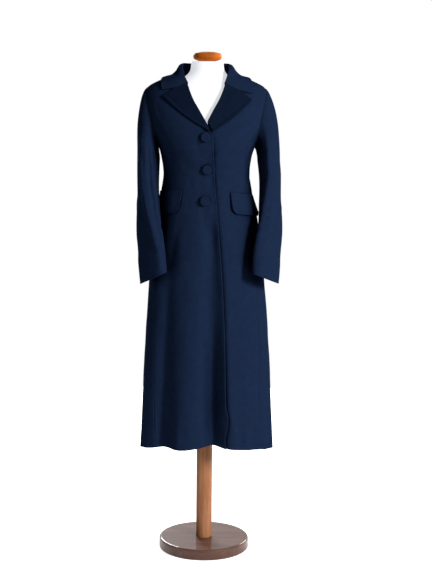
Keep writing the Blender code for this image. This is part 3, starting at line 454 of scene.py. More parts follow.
def sleeve_grid(side):
    """A sleeve's outer face, rows from the armhole to the cuff, closed round."""
    deg, hgt = armhole(side)
    a = body(deg, hgt)
    frac = loop_fraction(a)
    under = frac[len(UPPER_FRONT["arm_z"]) + 2]
    phi = np.where(frac < under, 180.0 * frac / under, 180.0 + 180.0 * (frac - under) / (1 - under))
    outward = np.array([side * 1.0, 0.0, -0.22])
    outward = outward / np.linalg.norm(outward)
    start = a + outward * 2 * SEAM
    end = sleeve_ring(side, phi, np.full(len(phi), SLEEVE_TOP))
    top = 0.5 + 0.5 * np.cos(np.radians(phi))
    rows = []
    for t in CAP_TURNS:
        h00, h10 = 2 * t**3 - 3 * t**2 + 1, t**3 - 2 * t**2 + t
        h01, h11 = -2 * t**3 + 3 * t**2, t**3 - t**2
        reach = (0.018 + 0.080 * top)[:, None]
        fall = np.stack([0 * phi, 0 * phi, -(start[:, 2] - end[:, 2]) * (0.75 + 0.35 * top) - 0.01], -1)
        rows.append(h00 * start + h10 * outward * reach + h01 * end + h11 * fall)
    for z in SLEEVE["height"][1:]:
        rows.append(sleeve_ring(side, phi, np.full(len(phi), z)))
    return np.array(rows), phi


# Collar guides on one side, from the front end round to centre back: the roll
# line (top of the collar) and the outer edge of the fall. x is on the piece's side.
COLLAR = table(
    "part roll_x roll_y roll_z edge_x edge_y edge_z",
    (0.00, 0.0606, -0.0690, 1.5795, 0.1462, -0.0600, 1.5540),
    (0.10, 0.0680, -0.0590, 1.5990, 0.1480, -0.0470, 1.5700),
    (0.20, 0.0740, -0.0440, 1.6180, 0.1460, -0.0260, 1.5850),
    (0.32, 0.0775, -0.0210, 1.6350, 0.1420, -0.0050, 1.5950),
    (0.44, 0.0765, 0.0000, 1.6420, 0.1360, 0.0180, 1.5985),
    (0.58, 0.0700, 0.0250, 1.6440, 0.1240, 0.0430, 1.5965),
    (0.72, 0.0540, 0.0480, 1.6435, 0.0980, 0.0690, 1.5920),
    (0.86, 0.0290, 0.0620, 1.6425, 0.0550, 0.0900, 1.5870),
    (1.00, 0.0000, 0.0670, 1.6420, 0.0000, 0.0985, 1.5850),
)
collar_at = {n: curve(COLLAR["part"], COLLAR[n]) for n in COLLAR if n != "part"}
NOTCH = (0.1075, 1.5595)      # the notch's corner: distance from centre, height
LAPEL_TIP = (0.1430, 1.5325)
SKEW = (0.0030, -0.0045)      # the wearer's left tips sit this much out and down
BELLY = 0.0060                # curve of the lapel's outer edge


def skin_distance(p):
    """Roughly how far a point is outside the coat's outer face, and the way out."""
    def level(q):
        z = np.clip(q[..., 2], 1.30, 1.639)
        x = np.abs(q[..., 0] - ring["shift"](z)) / ring["half"](z)
        y = np.abs(q[..., 1]) / np.where(q[..., 1] < 0, ring["front"](z), ring["back"](z))
        n = ring["power"](z)
        return (x**n + y**n) ** (1 / n) - 1

    e = 5e-4
    g = np.stack([(level(p + e * a) - level(p - e * a)) / (2 * e) for a in np.eye(3)], -1)
    size = np.maximum(np.linalg.norm(g, axis=-1), 1e-6)
    return level(p) / size, g / size[..., None]


def push_out(p, clear):
    for _ in range(4):
        d, n = skin_distance(p)
        p = p + n * np.maximum(clear - d, 0.0)[..., None]
    return p


def collar_guides(s):
    """Roll line and outer edge at s from -1 (viewer's left gorge) to 1."""
    s = np.asarray(s, float)
    part = 1.0 - np.abs(s)
    side = np.where(s < 0, -1.0, 1.0)
    g = {n: collar_at[n](part) for n in collar_at}
    near = smooth(1.0 - part / 0.3)
    roll = np.stack([side * g["roll_x"] + ring["shift"](g["roll_z"]), g["roll_y"], g["roll_z"]], -1)
    edge = np.stack(
        [
            side * (g["edge_x"] + side * SKEW[0] * near) + ring["shift"](g["edge_z"]),
            g["edge_y"],
            g["edge_z"] + side * SKEW[1] * near,
        ],
        -1,
    )
    return roll, edge, part, side


FALL_TURNS = (0.0, 0.05, 0.14, 0.30, 0.48, 0.65, 0.82, 1.0)
FALL_STEPS = (0.0, 0.05, 0.11, 0.18, 0.26, 0.35, 0.45, 0.57, 0.70, 0.85, 1.0)
NOTCH_AT = 0.48               # share of the fall's front end that is sewn to the lapel


def collar_fall_grid(steps=FALL_STEPS, turns=FALL_TURNS):
    """The fall: from the roll line out and down over the shoulders."""
    part = np.array(list(steps) + list(steps[-2::-1]))
    s = np.array([v - 1.0 for v in steps] + [1.0 - v for v in steps[-2::-1]])
    roll, edge, part, side = collar_guides(s)
    rows = []
    for t in turns:
        p = roll + (edge - roll) * t
        rise = smooth(part / 0.35) * (
            0.0036 * np.sin(np.pi * min(t / 0.34, 1.0)) - 0.0085 * np.sin(np.pi * max(t - 0.17, 0.0) / 0.83)
        )
        p[..., 2] += rise
        # the front end drops to the gorge and the notch's corner
        bend = smooth(1.0 - part / 0.16)
        corner_x = side * (NOTCH[0] + side * SKEW[0]) + ring["shift"](1.56)
        corner_z = NOTCH[1] + 0.0022 + side * SKEW[1] * 0.9
        k = min(t / NOTCH_AT, 1.0) if t <= NOTCH_AT else (1 - t) / (1 - NOTCH_AT)
        straight = roll + (edge - roll) * NOTCH_AT
        p[..., 0] += bend * k * (corner_x - straight[..., 0])
        p[..., 2] += bend * k * (corner_z - straight[..., 2])
        q = np.clip(np.abs(p[..., 0] - ring["shift"](p[..., 2])) / ring["half"](p[..., 2]), 0, 0.999)
        n = ring["power"](p[..., 2])
        on = -ring["front"](p[..., 2]) * (1 - q**n) ** (1 / n) - LIE - COLLAR_CLOTH
        w = smooth(1.0 - part / 0.30) * smooth(t / 0.10)
        p[..., 1] = p[..., 1] * (1 - w) + np.minimum(on, p[..., 1]) * w
        rows.append(p)
    return push_out(np.array(rows), LIE + COLLAR_CLOTH + 0.0005)


def front_outer(side, top):
    deg, hgt = front_grid(side, top)
    lift = np.zeros(deg.shape) if top else under_lift(deg, hgt)
    p = cloth(deg, hgt, lift)
    n = body_normal(deg, hgt)
    seam = shoulder_seam(side)
    t = np.linspace(0, 1, len(p))
    at = np.concatenate([[0], np.cumsum(np.linalg.norm(np.diff(seam, axis=0), axis=1))])
    p[:, -1] = np.stack([np.interp(t, at / at[-1], seam[:, k]) for k in range(3)], -1)
    return p, n


def back_angles(d):
    return np.where(d > 180.0, d - 360.0, d)


def shoulder_seam(side):
    """Points of the shoulder seam, tip to neck."""
    z = UPPER_BACK["arm_z"][8:]
    z = np.concatenate([[TIP], z[z > TIP]])
    return cloth(np.full(len(z), side * 90.0), z)


def stand_guides():
    """Where the stand is sewn on: the neckline's points, gorge to gorge."""
    ends = {}
    for side in (-1, 1):
        p, _ = front_outer(side, side < 0)
        ends[side] = p[-1, len(LOW_ROWS) + GORGE :]
    deg, hgt = back_grid()
    row = cloth(back_angles(deg[:, -1]), hgt[:, -1])[::-1]
    return np.vstack([ends[-1][:-1], row, ends[1][:-1][::-1]])


def stand_grid(turns=(0.0, 0.55, 1.0)):
    """The stand: from the neckline up to just under the roll line."""
    base = stand_guides()
    frac = np.concatenate([[0], np.cumsum(np.linalg.norm(np.diff(base, axis=0), axis=1))])
    frac = frac / frac[-1] * 2 - 1
    frac = np.clip(frac, -0.985, 0.985)
    roll, _, part, _ = collar_guides(frac)
    middle = np.array([-0.005, 0.006])
    inward = middle - roll[:, :2]
    inward /= np.linalg.norm(inward, axis=1, keepdims=True)
    top = roll.copy()
    top[:, :2] -= inward * (COLLAR_CLOTH - 0.0016)
    top[:, 2] -= COLLAR_CLOTH + 0.0022
    low = base.copy()
    low[:, 2] += 0.0006
    full = smooth((part - 0.05) / 0.30)[:, None]
    top = (low + np.array([0, 0, 0.0022])) * (1 - full) + top * full
    rows = []
    for t in turns:
        rows.append(low + (top - low) * t)
    flat = np.concatenate([inward, 0 * inward[:, :1]], axis=1)
    return np.array(rows), np.broadcast_to(flat, (len(turns), len(base), 3))


def lapel_grid(side, steps=9, cols=7):
    """A lapel as distances from the centre and heights, rows from the break up."""
    n = GORGE - 2
    rz = UPPER_FRONT["edge_z"][2 : GORGE + 1].copy()
    rx = UPPER_FRONT["edge_x"][2 : GORGE + 1].copy()
    if side > 0:
        rz[0], rx[0], rx[1], rz[1] = 1.4310, 0.0138, 0.0024, 1.4565
        ox, oz = 0.0190, 1.4310
    else:
        rz[0], rx[0] = 1.4312, -0.0112
        ox, oz = -0.0052, 1.4312
    rz[-1] -= 0.0006
    tip = (LAPEL_TIP[0] + side * SKEW[0], LAPEL_TIP[1] + side * SKEW[1])
    corner = (NOTCH[0] + side * SKEW[0], NOTCH[1] + side * SKEW[1] * 0.9 - 0.0004)
    length = np.concatenate([[0], np.cumsum(np.hypot(np.diff(rx), np.diff(rz)))])
    t = length / length[-1]
    ex, ez = ox + (tip[0] - ox) * t, oz + (tip[1] - oz) * t
    d = np.array([tip[0] - ox, tip[1] - oz])
    d = d / np.linalg.norm(d)
    bulge = BELLY * np.sin(np.pi * t)
    ex, ez = ex + bulge * d[1], ez - bulge * d[0]
    q = np.array([0.0, 0.06, 0.2, 0.38, 0.57, 0.78, 1.0])
    x = rx[:, None] + (ex - rx)[:, None] * q
    z = rz[:, None] + (ez - rz)[:, None] * q
    k = smooth((t - 0.45) / 0.55)[:, None]
    at = 0.57
    w = np.where(q <= at, q / at, (1 - q) / (1 - at))
    x += k * w * (corner[0] - (rx[-1] + (ex[-1] - rx[-1]) * at))
    z += k * w * (corner[1] - (rz[-1] + (ez[-1] - rz[-1]) * at))
    return x, z


def lapel_outer(side):
    x, z = lapel_grid(side)
    deg = side * angle_x(x, z)
    base = np.zeros(deg.shape) if side < 0 else under_lift(deg, z)
    low = cloth(deg, z, base + LIE)
    return low, cloth(deg, z, base + LIE + COLLAR_CLOTH)


# Pocket flaps: inner top, outer top, inner bottom and outer bottom corners.
FLAPS = table(
    "side top_in top_in_z top_out top_out_z low_in low_in_z low_out low_out_z",
    (-1, 0.0760, 1.2420, 0.1490, 1.2280, 0.0900, 1.1635, 0.1645, 1.1530),
    (1, 0.0762, 1.2330, 0.1500, 1.2165, 0.0840, 1.1630, 0.1655, 1.1455),
)
FLAP_ROUND = 0.012


def flap_grid(side, cols=9, rows=5):
    i = 0 if side < 0 else 1
    f = {n: FLAPS[n][i] for n in FLAPS}

    def deg_of(x, z):
        return float(angle_x(x, z))

    a = {}
    for k in ("top_in", "top_out", "low_in", "low_out"):
        a[k] = (deg_of(f[k], f[k + "_z"]), f[k + "_z"])
    u = np.array([0, 0.045, 0.12, 0.25, 0.40, 0.55, 0.70, 0.82, 0.93, 1.0])
    v = np.array([0, 0.08, 0.2, 0.45, 0.7, 1.0])   # bottom to top
    U, V = np.meshgrid(u, v, indexing="ij")
    top = [a["top_in"][k] + (a["top_out"][k] - a["top_in"][k]) * U for k in (0, 1)]
    low = [a["low_in"][k] + (a["low_out"][k] - a["low_in"][k]) * U for k in (0, 1)]
    deg = low[0] + (top[0] - low[0]) * V
    z = low[1] + (top[1] - low[1]) * V
    # rounded lower corners: the bottom edge rises at both ends
    ends = np.clip(1 - U / 0.12, 0, 1) ** 2 + np.clip(1 - (1 - U) / 0.12, 0, 1) ** 2
    z = z + FLAP_ROUND * ends * (1 - V)
    return side * deg, z


def flap_outer(side):
    deg, z = flap_grid(side)
    v = (z - z.min()) / (z.max() - z.min())
    low = cloth(deg, z, LIE * (1.6 - 0.9 * v))
    return low, cloth(deg, z, LIE * (1.6 - 0.9 * v) + FLAP_CLOTH)


BUTTONS = table(
    "height x",
    (1.4110, -0.0040), (1.3070, 0.0015), (1.2040, -0.0052),
)
BUTTON_RADIUS = 0.0158
BUTTONHOLE = (0.0460, 0.0100)   # length and height of the bound buttonhole


FORM = table(
    "height half front back power",
    (0.9800, 0.1500, 0.098, 0.104, 2.1),
    (0.9860, 0.1560, 0.103, 0.109, 2.1),
    (1.0500, 0.1620, 0.109, 0.115, 2.1),
    (1.1500, 0.1500, 0.107, 0.111, 2.1),
    (1.2200, 0.1360, 0.100, 0.102, 2.1),
    (1.2900, 0.1280, 0.096, 0.095, 2.1),
    (1.3400, 0.1340, 0.108, 0.096, 2.15),
    (1.3850, 0.1480, 0.122, 0.102, 2.2),
    (1.4300, 0.1600, 0.119, 0.108, 2.25),
    (1.4800, 0.1690, 0.105, 0.108, 2.25),
    (1.5200, 0.1720, 0.088, 0.100, 2.2),
    (1.5460, 0.1650, 0.076, 0.089, 2.15),
    (1.5620, 0.1500, 0.069, 0.081, 2.1),
    (1.5820, 0.1150, 0.060, 0.071, 2.0),
    (1.5960, 0.0830, 0.0545, 0.063, 2.0),
    (1.6080, 0.0650, 0.0520, 0.058, 2.0),
    (1.6220, 0.0560, 0.0505, 0.0545, 2.0),
    (1.6500, 0.0515, 0.0500, 0.0520, 2.0),
)


# ==================================================================== looks
# Creases of the body cloth: a line from (angle0, z0) to (angle1, z1) in degrees
# and metres, its half-width and depth (minus is a trough), and its sideways bow.
CREASES = table(
    "angle0 z0 angle1 z1 width depth bow",
    # pulls that run from the buttons
    (-11.0, 1.404, -1.5, 1.345, 0.0065, -0.0026, 0.003),
    (9.5, 1.404, 2.5, 1.342, 0.0070, -0.0022, -0.003),
    (-12.0, 1.300, -33.0, 1.322, 0.0075, -0.0012, 0.004),
    (-10.0, 1.290, -26.0, 1.262, 0.0070, -0.0012, -0.002),
    (7.0, 1.297, 27.0, 1.318, 0.0075, -0.0012, -0.003),
    (7.5, 1.292, 24.0, 1.258, 0.0070, -0.0010, 0.002),
    (-4.5, 1.296, -6.5, 1.232, 0.0065, -0.0016, 0.002),
    (6.0, 1.296, 4.0, 1.230, 0.0065, -0.0016, -0.002),
    (-5.0, 1.198, -26.0, 1.176, 0.0080, -0.0011, 0.003),
    (3.0, 1.198, 22.0, 1.172, 0.0080, -0.0012, -0.003),
    (-3.0, 1.190, 1.5, 1.075, 0.0080, -0.0030, 0.002),
    # from the armholes towards the bust and the waist
    (-66.0, 1.425, -47.0, 1.345, 0.0090, -0.0022, 0.003),
    (-71.0, 1.392, -58.0, 1.300, 0.0080, -0.0018, -0.002),
    (66.0, 1.425, 49.0, 1.352, 0.0090, -0.0020, -0.003),
    (72.0, 1.390, 60.0, 1.296, 0.0080, -0.0018, 0.002),
    (-52.0, 1.520, -44.0, 1.455, 0.0085, -0.0016, 0.002),
    (52.0, 1.518, 45.0, 1.458, 0.0085, -0.0014, -0.002),
    # sides at the waist
    (-84.0, 1.330, -63.0, 1.262, 0.0075, -0.0020, 0.003),
    (-96.0, 1.300, -72.0, 1.232, 0.0085, -0.0022, 0.002),
    (83.0, 1.335, 64.0, 1.270, 0.0075, -0.0018, -0.003),
    (98.0, 1.298, 74.0, 1.236, 0.0080, -0.0020, -0.002),
    (-80.0, 1.228, -98.0, 1.150, 0.0100, -0.0018, 0.002),
    (80.0, 1.232, 96.0, 1.148, 0.0100, -0.0016, -0.002),
    # below the flaps
    (-30.0, 1.142, -37.0, 0.960, 0.0110, -0.0024, 0.004),
    (-47.0, 1.140, -49.0, 1.010, 0.0100, 0.0018, -0.003),
    (34.0, 1.138, 37.0, 0.985, 0.0110, -0.0014, -0.003),
    # the steep side of the long hollow beside the front edge
    (4.5, 1.165, 8.2, 0.820, 0.0100, -0.0115, 0.000),
    (8.0, 0.930, 9.0, 0.330, 0.0120, -0.0145, 0.000),
    # skirt and hem
    (19.5, 0.515, 28.5, 0.372, 0.0075, 0.0030, 0.003),
    (25.0, 0.480, 33.0, 0.372, 0.0080, -0.0022, 0.002),
    (-33.0, 0.560, -36.0, 0.374, 0.0120, -0.0020, 0.003),
    (-58.0, 0.640, -60.0, 0.368, 0.0130, -0.0018, -0.003),
    (46.0, 0.700, 49.0, 0.372, 0.0130, -0.0015, 0.004),
    # back: shoulder blades, waist and skirt
    (128.0, 1.500, 154.0, 1.452, 0.0100, -0.0018, 0.003),
    (-130.0, 1.495, -152.0, 1.440, 0.0100, -0.0020, -0.003),
    (121.0, 1.418, 148.0, 1.362, 0.0100, -0.0020, 0.003),
    (-122.0, 1.412, -146.0, 1.350, 0.0095, -0.0018, -0.004),
    (146.0, 1.300, 176.0, 1.282, 0.0085, -0.0022, -0.003),
    (-147.0, 1.290, -174.0, 1.268, 0.0085, -0.0024, 0.003),
    (134.0, 1.262, 166.0, 1.236, 0.0090, -0.0020, 0.003),
    (-136.0, 1.250, -168.0, 1.222, 0.0085, -0.0018, -0.002),
    (158.0, 1.215, 152.0, 1.060, 0.0110, -0.0026, 0.004),
    (-160.0, 1.210, -157.0, 1.030, 0.0110, -0.0024, -0.003),
    (129.0, 0.700, 131.0, 0.372, 0.0140, -0.0020, 0.003),
    (-146.0, 0.620, -147.0, 0.370, 0.0130, -0.0018, -0.003),
)
ARC = 0.0028              # metres for each degree round the body

plain_folds = folds


def crease_lift(rows, u, z, unit, around):
    """Sum of the table's creases at u degrees and height z."""
    out = np.zeros(np.broadcast(u, z).shape)
    for a0, z0, a1, z1, w, dp, bow in zip(*(rows[n] for n in ("angle0", "z0", "angle1", "z1", "width", "depth", "bow"))):
        du = (u - a0 + 180.0) % 360.0 - 180.0 if around else u - a0
        x, y = du * unit, z - z0
        dx, dy = (a1 - a0) * unit, z1 - z0
        length = math.hypot(dx, dy)
        t = (x * dx + y * dy) / length**2
        off = (x * dy - y * dx) / length - bow * 4 * t * (1 - t)
        fade = smooth(t / 0.35 + 0.15) * smooth((1 - t) / 0.40 + 0.10)
        width = w * (0.75 + 0.6 * np.clip(t, 0, 1))
        out = out + dp * fade * np.exp(-0.5 * (off / width) ** 2)
    return out


def undulation(deg, z):
    """Slow, uneven waves that keep any stretch of cloth from being quite smooth."""
    a = np.radians(deg)
    low = smooth((1.30 - z) / 0.25)
    w = 0.00042 * np.sin(5 * a + 9.1 * z + 0.6) * np.sin(23.0 * z + 1.3 + 2 * np.sin(3 * a))
    w = w + 0.00034 * np.sin(11 * a - 6.3 * z + 2.0) * np.sin(37.0 * z - 0.8 + 3 * np.sin(2 * a + 1))
    w = w + 0.00022 * np.sin(19 * a + 15 * z + 0.9) * np.sin(61.0 * z + 2 * np.sin(5 * a))
    hem = smooth((0.56 - z) / 0.19)
    w = w + hem * (0.0011 * np.sin(13 * a + 0.4) + 0.0007 * np.sin(29 * a + 1.9))
    return w * (0.8 + 0.7 * low)


def folds(deg, z):
    deg, z = np.broadcast_arrays(np.asarray(deg, float), np.asarray(z, float))
    return plain_folds(deg, z) + crease_lift(CREASES, deg, z, ARC, True) + undulation(deg, z)


# ------------------------------------------------------------ fine sampling
NEAR = (0.0, 0.00035, 0.0009, 0.0016, 0.0026, 0.0038, 0.0048, 0.0054, 0.0060, 0.0066, 0.0074, 0.0090, 0.0120)
SEAM_NEAR = (0.0, 0.0004, 0.0009, 0.0015, 0.0023, 0.0034, 0.0050, 0.0075)


def positions(width, step, start=SEAM_NEAR, end=SEAM_NEAR):
    """Shares from 0 to 1 along a width in metres, closer together at both ends."""
    a = np.array(start) / width
    b = 1 - np.array(end)[::-1] / width
    n = max(2, int(round((b[0] - a[-1]) * width / step)))
    return np.concatenate([a[:-1], np.linspace(a[-1], b[0], n + 1), b[1:]])


def low_heights(step, start=NEAR):
    return np.concatenate([HEM + np.array(start), np.arange(HEM + start[-1] + step * 0.7, 1.3635, step), [1.364]])


def hem_blend(z, deg):
    """Heights of a row: it follows the hem at the bottom and is level from 0.47 up."""
    s = np.clip((z - HEM) / (0.470 - HEM), 0, 1)
    return hem_height(deg) * (1 - s) + np.maximum(z, 0.470) * s if z >= 0.470 else hem_height(deg) * (1 - s) + 0.470 * s


def under_lift(deg, z):
    """The under front, which rises to the top front's level just beyond its edge."""
    x = body(deg, z)[..., 0] - ring["shift"](z)
    edge = np.where(z < 1.414, front_edge(np.minimum(z, 1.414)), -roll_x(np.clip(z, 1.4286, 1.60)))
    low = smooth((1.15 - z) / 0.25)
    fade = 1.0 - smooth((x - edge - 0.0010) / (0.0075 + 0.0035 * low))
    deep = UNDER * (1.0 + 0.35 * low)
    return -deep * fade * (1.0 - smooth((z - 1.470) / 0.045))


by_row = {n: curve(np.arange(len(UPPER_FRONT["arm_z"])), UPPER_FRONT[n]) for n in UPPER_FRONT}
by_back = {n: curve(np.arange(len(UPPER_BACK["arm_z"])), UPPER_BACK[n]) for n in UPPER_BACK}


def fine_front(side, top, step=0.0052):
    """Angle and height of a front, columns from the side seam to the front edge."""
    share = positions(0.205, step, SEAM_NEAR, NEAR)
    line = 1.0 - (1.0 - share) ** (1 / 1.3)
    deg, hgt = [], []
    for z in low_heights(step):
        a = float(seam_front(z))
        d = a + (float(low_front_edge(z, top)) - a) * share
        deg.append(d)
        hgt.append(hem_blend(z, side * d))
    for z in (1.371, 1.378, 1.385):
        a = float(seam_front(z))
        deg.append(a + (float(low_front_edge(z, top)) - a) * share)
        hgt.append(np.full(len(share), z))
    last = len(UPPER_FRONT["arm_z"]) - 1
    ups = np.concatenate([np.arange(0, last - 0.35, 0.22), last - np.array([0.34, 0.22, 0.14, 0.09, 0.05, 0.02, 0.0])])
    for i in ups:
        az, ay, ez, ex = (float(by_row[n](i)) for n in ("arm_z", "arm_y", "edge_z", "edge_x"))
        if not top and i < 2:
            ex = (UNDER_EDGE + 0.008 * i) if i < 1 else (UNDER_EDGE + 0.008) + (float(by_row["edge_x"](2.0)) - UNDER_EDGE - 0.008) * (i - 1)
        # the edge is drawn back from the roll line, inside the turn of the lapel
        ex += LAPEL_TURN * smooth((i - 1.6) / 0.8) * (1 - smooth((i - 8.2) / 0.5))
        d0 = float(angle_y(ay, az))
        if i > last - 1:
            s = i - (last - 1)
            d1 = float(angle_x(by_row["edge_x"](last - 1.0), by_row["edge_z"](last - 1.0))) * (1 - s) + 90.0 * s
        else:
            d1 = float(angle_x(ex, ez))
        mix = share + (line - share) * (i / last)
        deg.append(d0 + (d1 - d0) * mix)
        hgt.append(az + (ez - az) * mix)
    return side * np.array(deg).T, np.array(hgt).T


LAPEL_TURN = 0.0042       # how far the fronts stop short of the roll line


def fine_side(side, step=0.0052):
    share = positions(0.20, step)
    deg, hgt = [], []
    zs = low_heights(step)
    for z in zs:
        s = smooth((z - 1.335) / 0.029)
        d = spread(float(seam_front(z)), float(seam_back(z)), 2)
        d = d[0] + (d[1] - d[0]) * share
        deg.append(d)
        hgt.append(hem_blend(z, side * d) - 0.010 * np.sin(np.pi * share) * s)
    yy = UNDERARM["y"][0] + (UNDERARM["y"][-1] - UNDERARM["y"][0]) * share
    top_z = underarm_height(yy)
    top_d = angle_y(yy, top_z)
    for f in (0.2, 0.4, 0.6, 0.78, 0.9, 0.96, 0.985, 1.0):
        deg.append(deg[len(zs) - 1] * (1 - f) + top_d * f)
        hgt.append(hgt[len(zs) - 1] * (1 - f) + top_z * f)
    return side * np.array(deg).T, np.array(hgt).T


def fine_back(step=0.0056):
    share = positions(0.34, step)
    deg, hgt = [], []
    for z in low_heights(step):
        s = float(seam_back(z))
        d = s + (360.0 - 2 * s) * share
        deg.append(d)
        hgt.append(hem_blend(z, back_angles(d)))
    last = len(UPPER_BACK["arm_z"]) - 1
    for z in (1.372, 1.381, 1.390):
        s = float(seam_back(z))
        deg.append(s + (360.0 - 2 * s) * share)
        hgt.append(np.full(len(share), z))
    ups = np.concatenate([np.arange(0, last - 0.35, 0.24), last - np.array([0.34, 0.22, 0.14, 0.09, 0.05, 0.02, 0.0])])
    for i in ups:
        az, ay = float(by_back["arm_z"](i)), float(by_back["arm_y"](i))
        s = float(angle_y(ay, az)) if i < 8 else 90.0
        d = s + (360.0 - 2 * s) * share
        w = np.where(d > 180.0, 360.0 - d, d)
        drop = smooth((i - 4) / (last + 1 - 5.0))
        k = 0.9 + 0.1 * smooth(i - (last - 1))
        deg.append(d)
        hgt.append(az + drop * (neck_height(w) - NECK_SIDE) * k)
    return back_angles(np.array(deg).T), np.array(hgt).T


def fine_loop(side, step=0.0034):
    """Armhole points, evenly close, with the coarse loop's index of each."""
    rows = len(UPPER_FRONT["arm_z"])
    idx = np.arange(0, rows - 1, 0.02)
    front = [(float(angle_y(by_row["arm_y"](rows - 1 - i), by_row["arm_z"](rows - 1 - i))), float(by_row["arm_z"](rows - 1 - i)), i) for i in idx]
    n_under = len(UNDERARM["y"])
    ui = np.arange(0, n_under - 1, 0.02)
    uy = curve(np.arange(n_under), UNDERARM["y"])(ui)
    under = [(float(angle_y(y, underarm_height(y))), float(underarm_height(y)), rows - 1 + i) for y, i in zip(uy, ui)]
    bi = np.arange(0, 8, 0.02)
    back = [(float(angle_y(by_back["arm_y"](i), by_back["arm_z"](i))), float(by_back["arm_z"](i)), rows - 1 + n_under - 1 + i) for i in bi]
    all_points = np.array(front + under + back)
    p = body(side * all_points[:, 0], all_points[:, 1])
    d = np.concatenate([[0], np.cumsum(np.linalg.norm(np.diff(np.vstack([p, p[:1]]), axis=0), axis=1))])
    return all_points, p, d


def edge_distances(p):
    du = np.linalg.norm(np.diff(p, axis=0), axis=-1)
    dv = np.linalg.norm(np.diff(p, axis=1), axis=-1)
    a = np.concatenate([np.zeros((1, p.shape[1])), np.cumsum(du, axis=0)])
    b = np.concatenate([np.zeros((p.shape[0], 1)), np.cumsum(dv, axis=1)], axis=1)
    return {"u0": a, "u1": a[-1:] - a, "v0": b, "v1": b[:, -1:] - b}, a, b


def finished(p, n, thick, free="", seams="", band=0.0006, stitch=0.0008, pitch=0.0065):
    """Outer and inner faces with rounded, stitched free edges and pressed seams."""
    far, along_u, along_v = edge_distances(p)
    out = np.zeros(p.shape[:2])
    into = np.zeros(p.shape[:2])
    r = thick / 2
    for e in free.split():
        d = far[e]
        run = along_v if e[0] == "u" else along_u
        ease = r - np.sqrt(np.maximum(r * r - np.maximum(r - d, 0.0) ** 2, 0.0))
        out = np.minimum(out, 0) - ease + np.maximum(out, 0)
        into = into + ease
        out = out + band * (1 - smooth((d - 0.0035) / 0.0035)) * smooth(d / 0.0012)
        pick = 0.65 + 0.35 * np.cos(2 * np.pi * run / pitch)
        out = out - stitch * pick * np.exp(-(((d - 0.0060) / 0.00075) ** 2))
    for e in seams.split():
        d = far[e]
        run = along_v if e[0] == "u" else along_u
        out = out - 0.0011 * np.exp(-((d / 0.0011) ** 2))
        out = out + 0.00035 * np.exp(-(((d - 0.0042) / 0.0022) ** 2)) * (0.7 + 0.3 * np.sin(2 * np.pi * run / 0.021))
    return p + n * out[..., None], p - n * (thick - into)[..., None]


def mesh_object(name, verts, faces, mat, smooth_angle=50):
    me = bpy.data.meshes.new(name)
    me.vertices.add(len(verts))
    me.vertices.foreach_set("co", np.asarray(verts, np.float32).ravel())
    f = np.asarray(faces, np.int32)
    me.loops.add(f.size)
    me.polygons.add(len(f))
    me.loops.foreach_set("vertex_index", f.ravel())
    me.polygons.foreach_set("loop_start", np.arange(0, f.size, f.shape[1], dtype=np.int32))
    me.update(calc_edges=True)
    me.validate()
    me.shade_smooth()
    me.set_sharp_from_angle(angle=math.radians(smooth_angle))
    ob = bpy.data.objects.new(name, me)
    me.materials.append(mat)
    bpy.context.scene.collection.objects.link(ob)
    return ob


def shell(name, outer, inner, mat):
    """A closed sheet of cloth from its two faces, given as equal grids."""
    nu, nv = outer.shape[:2]
    half = nu * nv
    verts = np.concatenate([outer.reshape(-1, 3), inner.reshape(-1, 3)])
    i, j = np.meshgrid(np.arange(nu - 1), np.arange(nv - 1), indexing="ij")
    a = (i * nv + j).ravel()
    quads = np.stack([a, a + nv, a + nv + 1, a + 1], -1)
    faces = [quads, quads[:, ::-1] + half]
    rim = [(k, 0) for k in range(nu)] + [(nu - 1, k) for k in range(1, nv)]
    rim += [(k, nv - 1) for k in range(nu - 2, -1, -1)] + [(0, k) for k in range(nv - 2, 0, -1)]
    r = np.array([k * nv + m for k, m in rim])
    s = np.roll(r, -1)
    faces.append(np.stack([r, r + half, s + half, s], -1))
    faces = np.concatenate(faces)
    mid = (nu // 2) * nv + nv // 2
    # faces point away from the other face
    e1 = verts[mid + nv] - verts[mid]
    e2 = verts[mid + 1] - verts[mid]
    if np.dot(np.cross(e1, e2), verts[mid] - verts[mid + half]) < 0:
        faces = faces[:, ::-1]
    return mesh_object(name, verts, faces, mat)


def lathe(name, profile, mat, steps=120, centre=(0, 0, 0)):
    """A closed turned solid: the profile's first and last radius are 0."""
    t = np.linspace(0, 2 * np.pi, steps, endpoint=False)
    rows = [(r, z) for r, z in profile if r > 0]
    verts = [np.stack([r * np.cos(t), r * np.sin(t), np.full(steps, z)], -1) for r, z in rows]
    verts = np.concatenate(verts + [np.array([[0, 0, profile[0][1]]]), np.array([[0, 0, profile[-1][1]]])])
    n = len(rows)
    k = np.arange(steps)
    m = (k + 1) % steps
    faces = []
    for i in range(n - 1):
        faces.append(np.stack([i * steps + k, (i + 1) * steps + k, (i + 1) * steps + m, i * steps + m], -1))
    faces = np.concatenate(faces)
    me = bpy.data.meshes.new(name)
    tri = [(int(a), int(b), int(n * steps)) for a, b in zip(k, m)] + [(int(b) + (n - 1) * steps, int(a) + (n - 1) * steps, int(n * steps + 1)) for a, b in zip(k, m)]
    me.from_pydata([tuple(map(float, v)) for v in verts], [], [tuple(map(int, f)) for f in faces] + tri)
    me.validate()
    me.shade_smooth()
    me.set_sharp_from_angle(angle=math.radians(50))
    ob = bpy.data.objects.new(name, me)
    me.materials.append(mat)
    bpy.context.scene.collection.objects.link(ob)
    return ob


# ------------------------------------------------------------------ materials
def nodes_of(name):
    m = bpy.data.materials.new(name)
    m.use_nodes = True
    t = m.node_tree
    return m, t, t.nodes["Principled BSDF"]


def link(t, a, b):
    t.links.new(a, b)


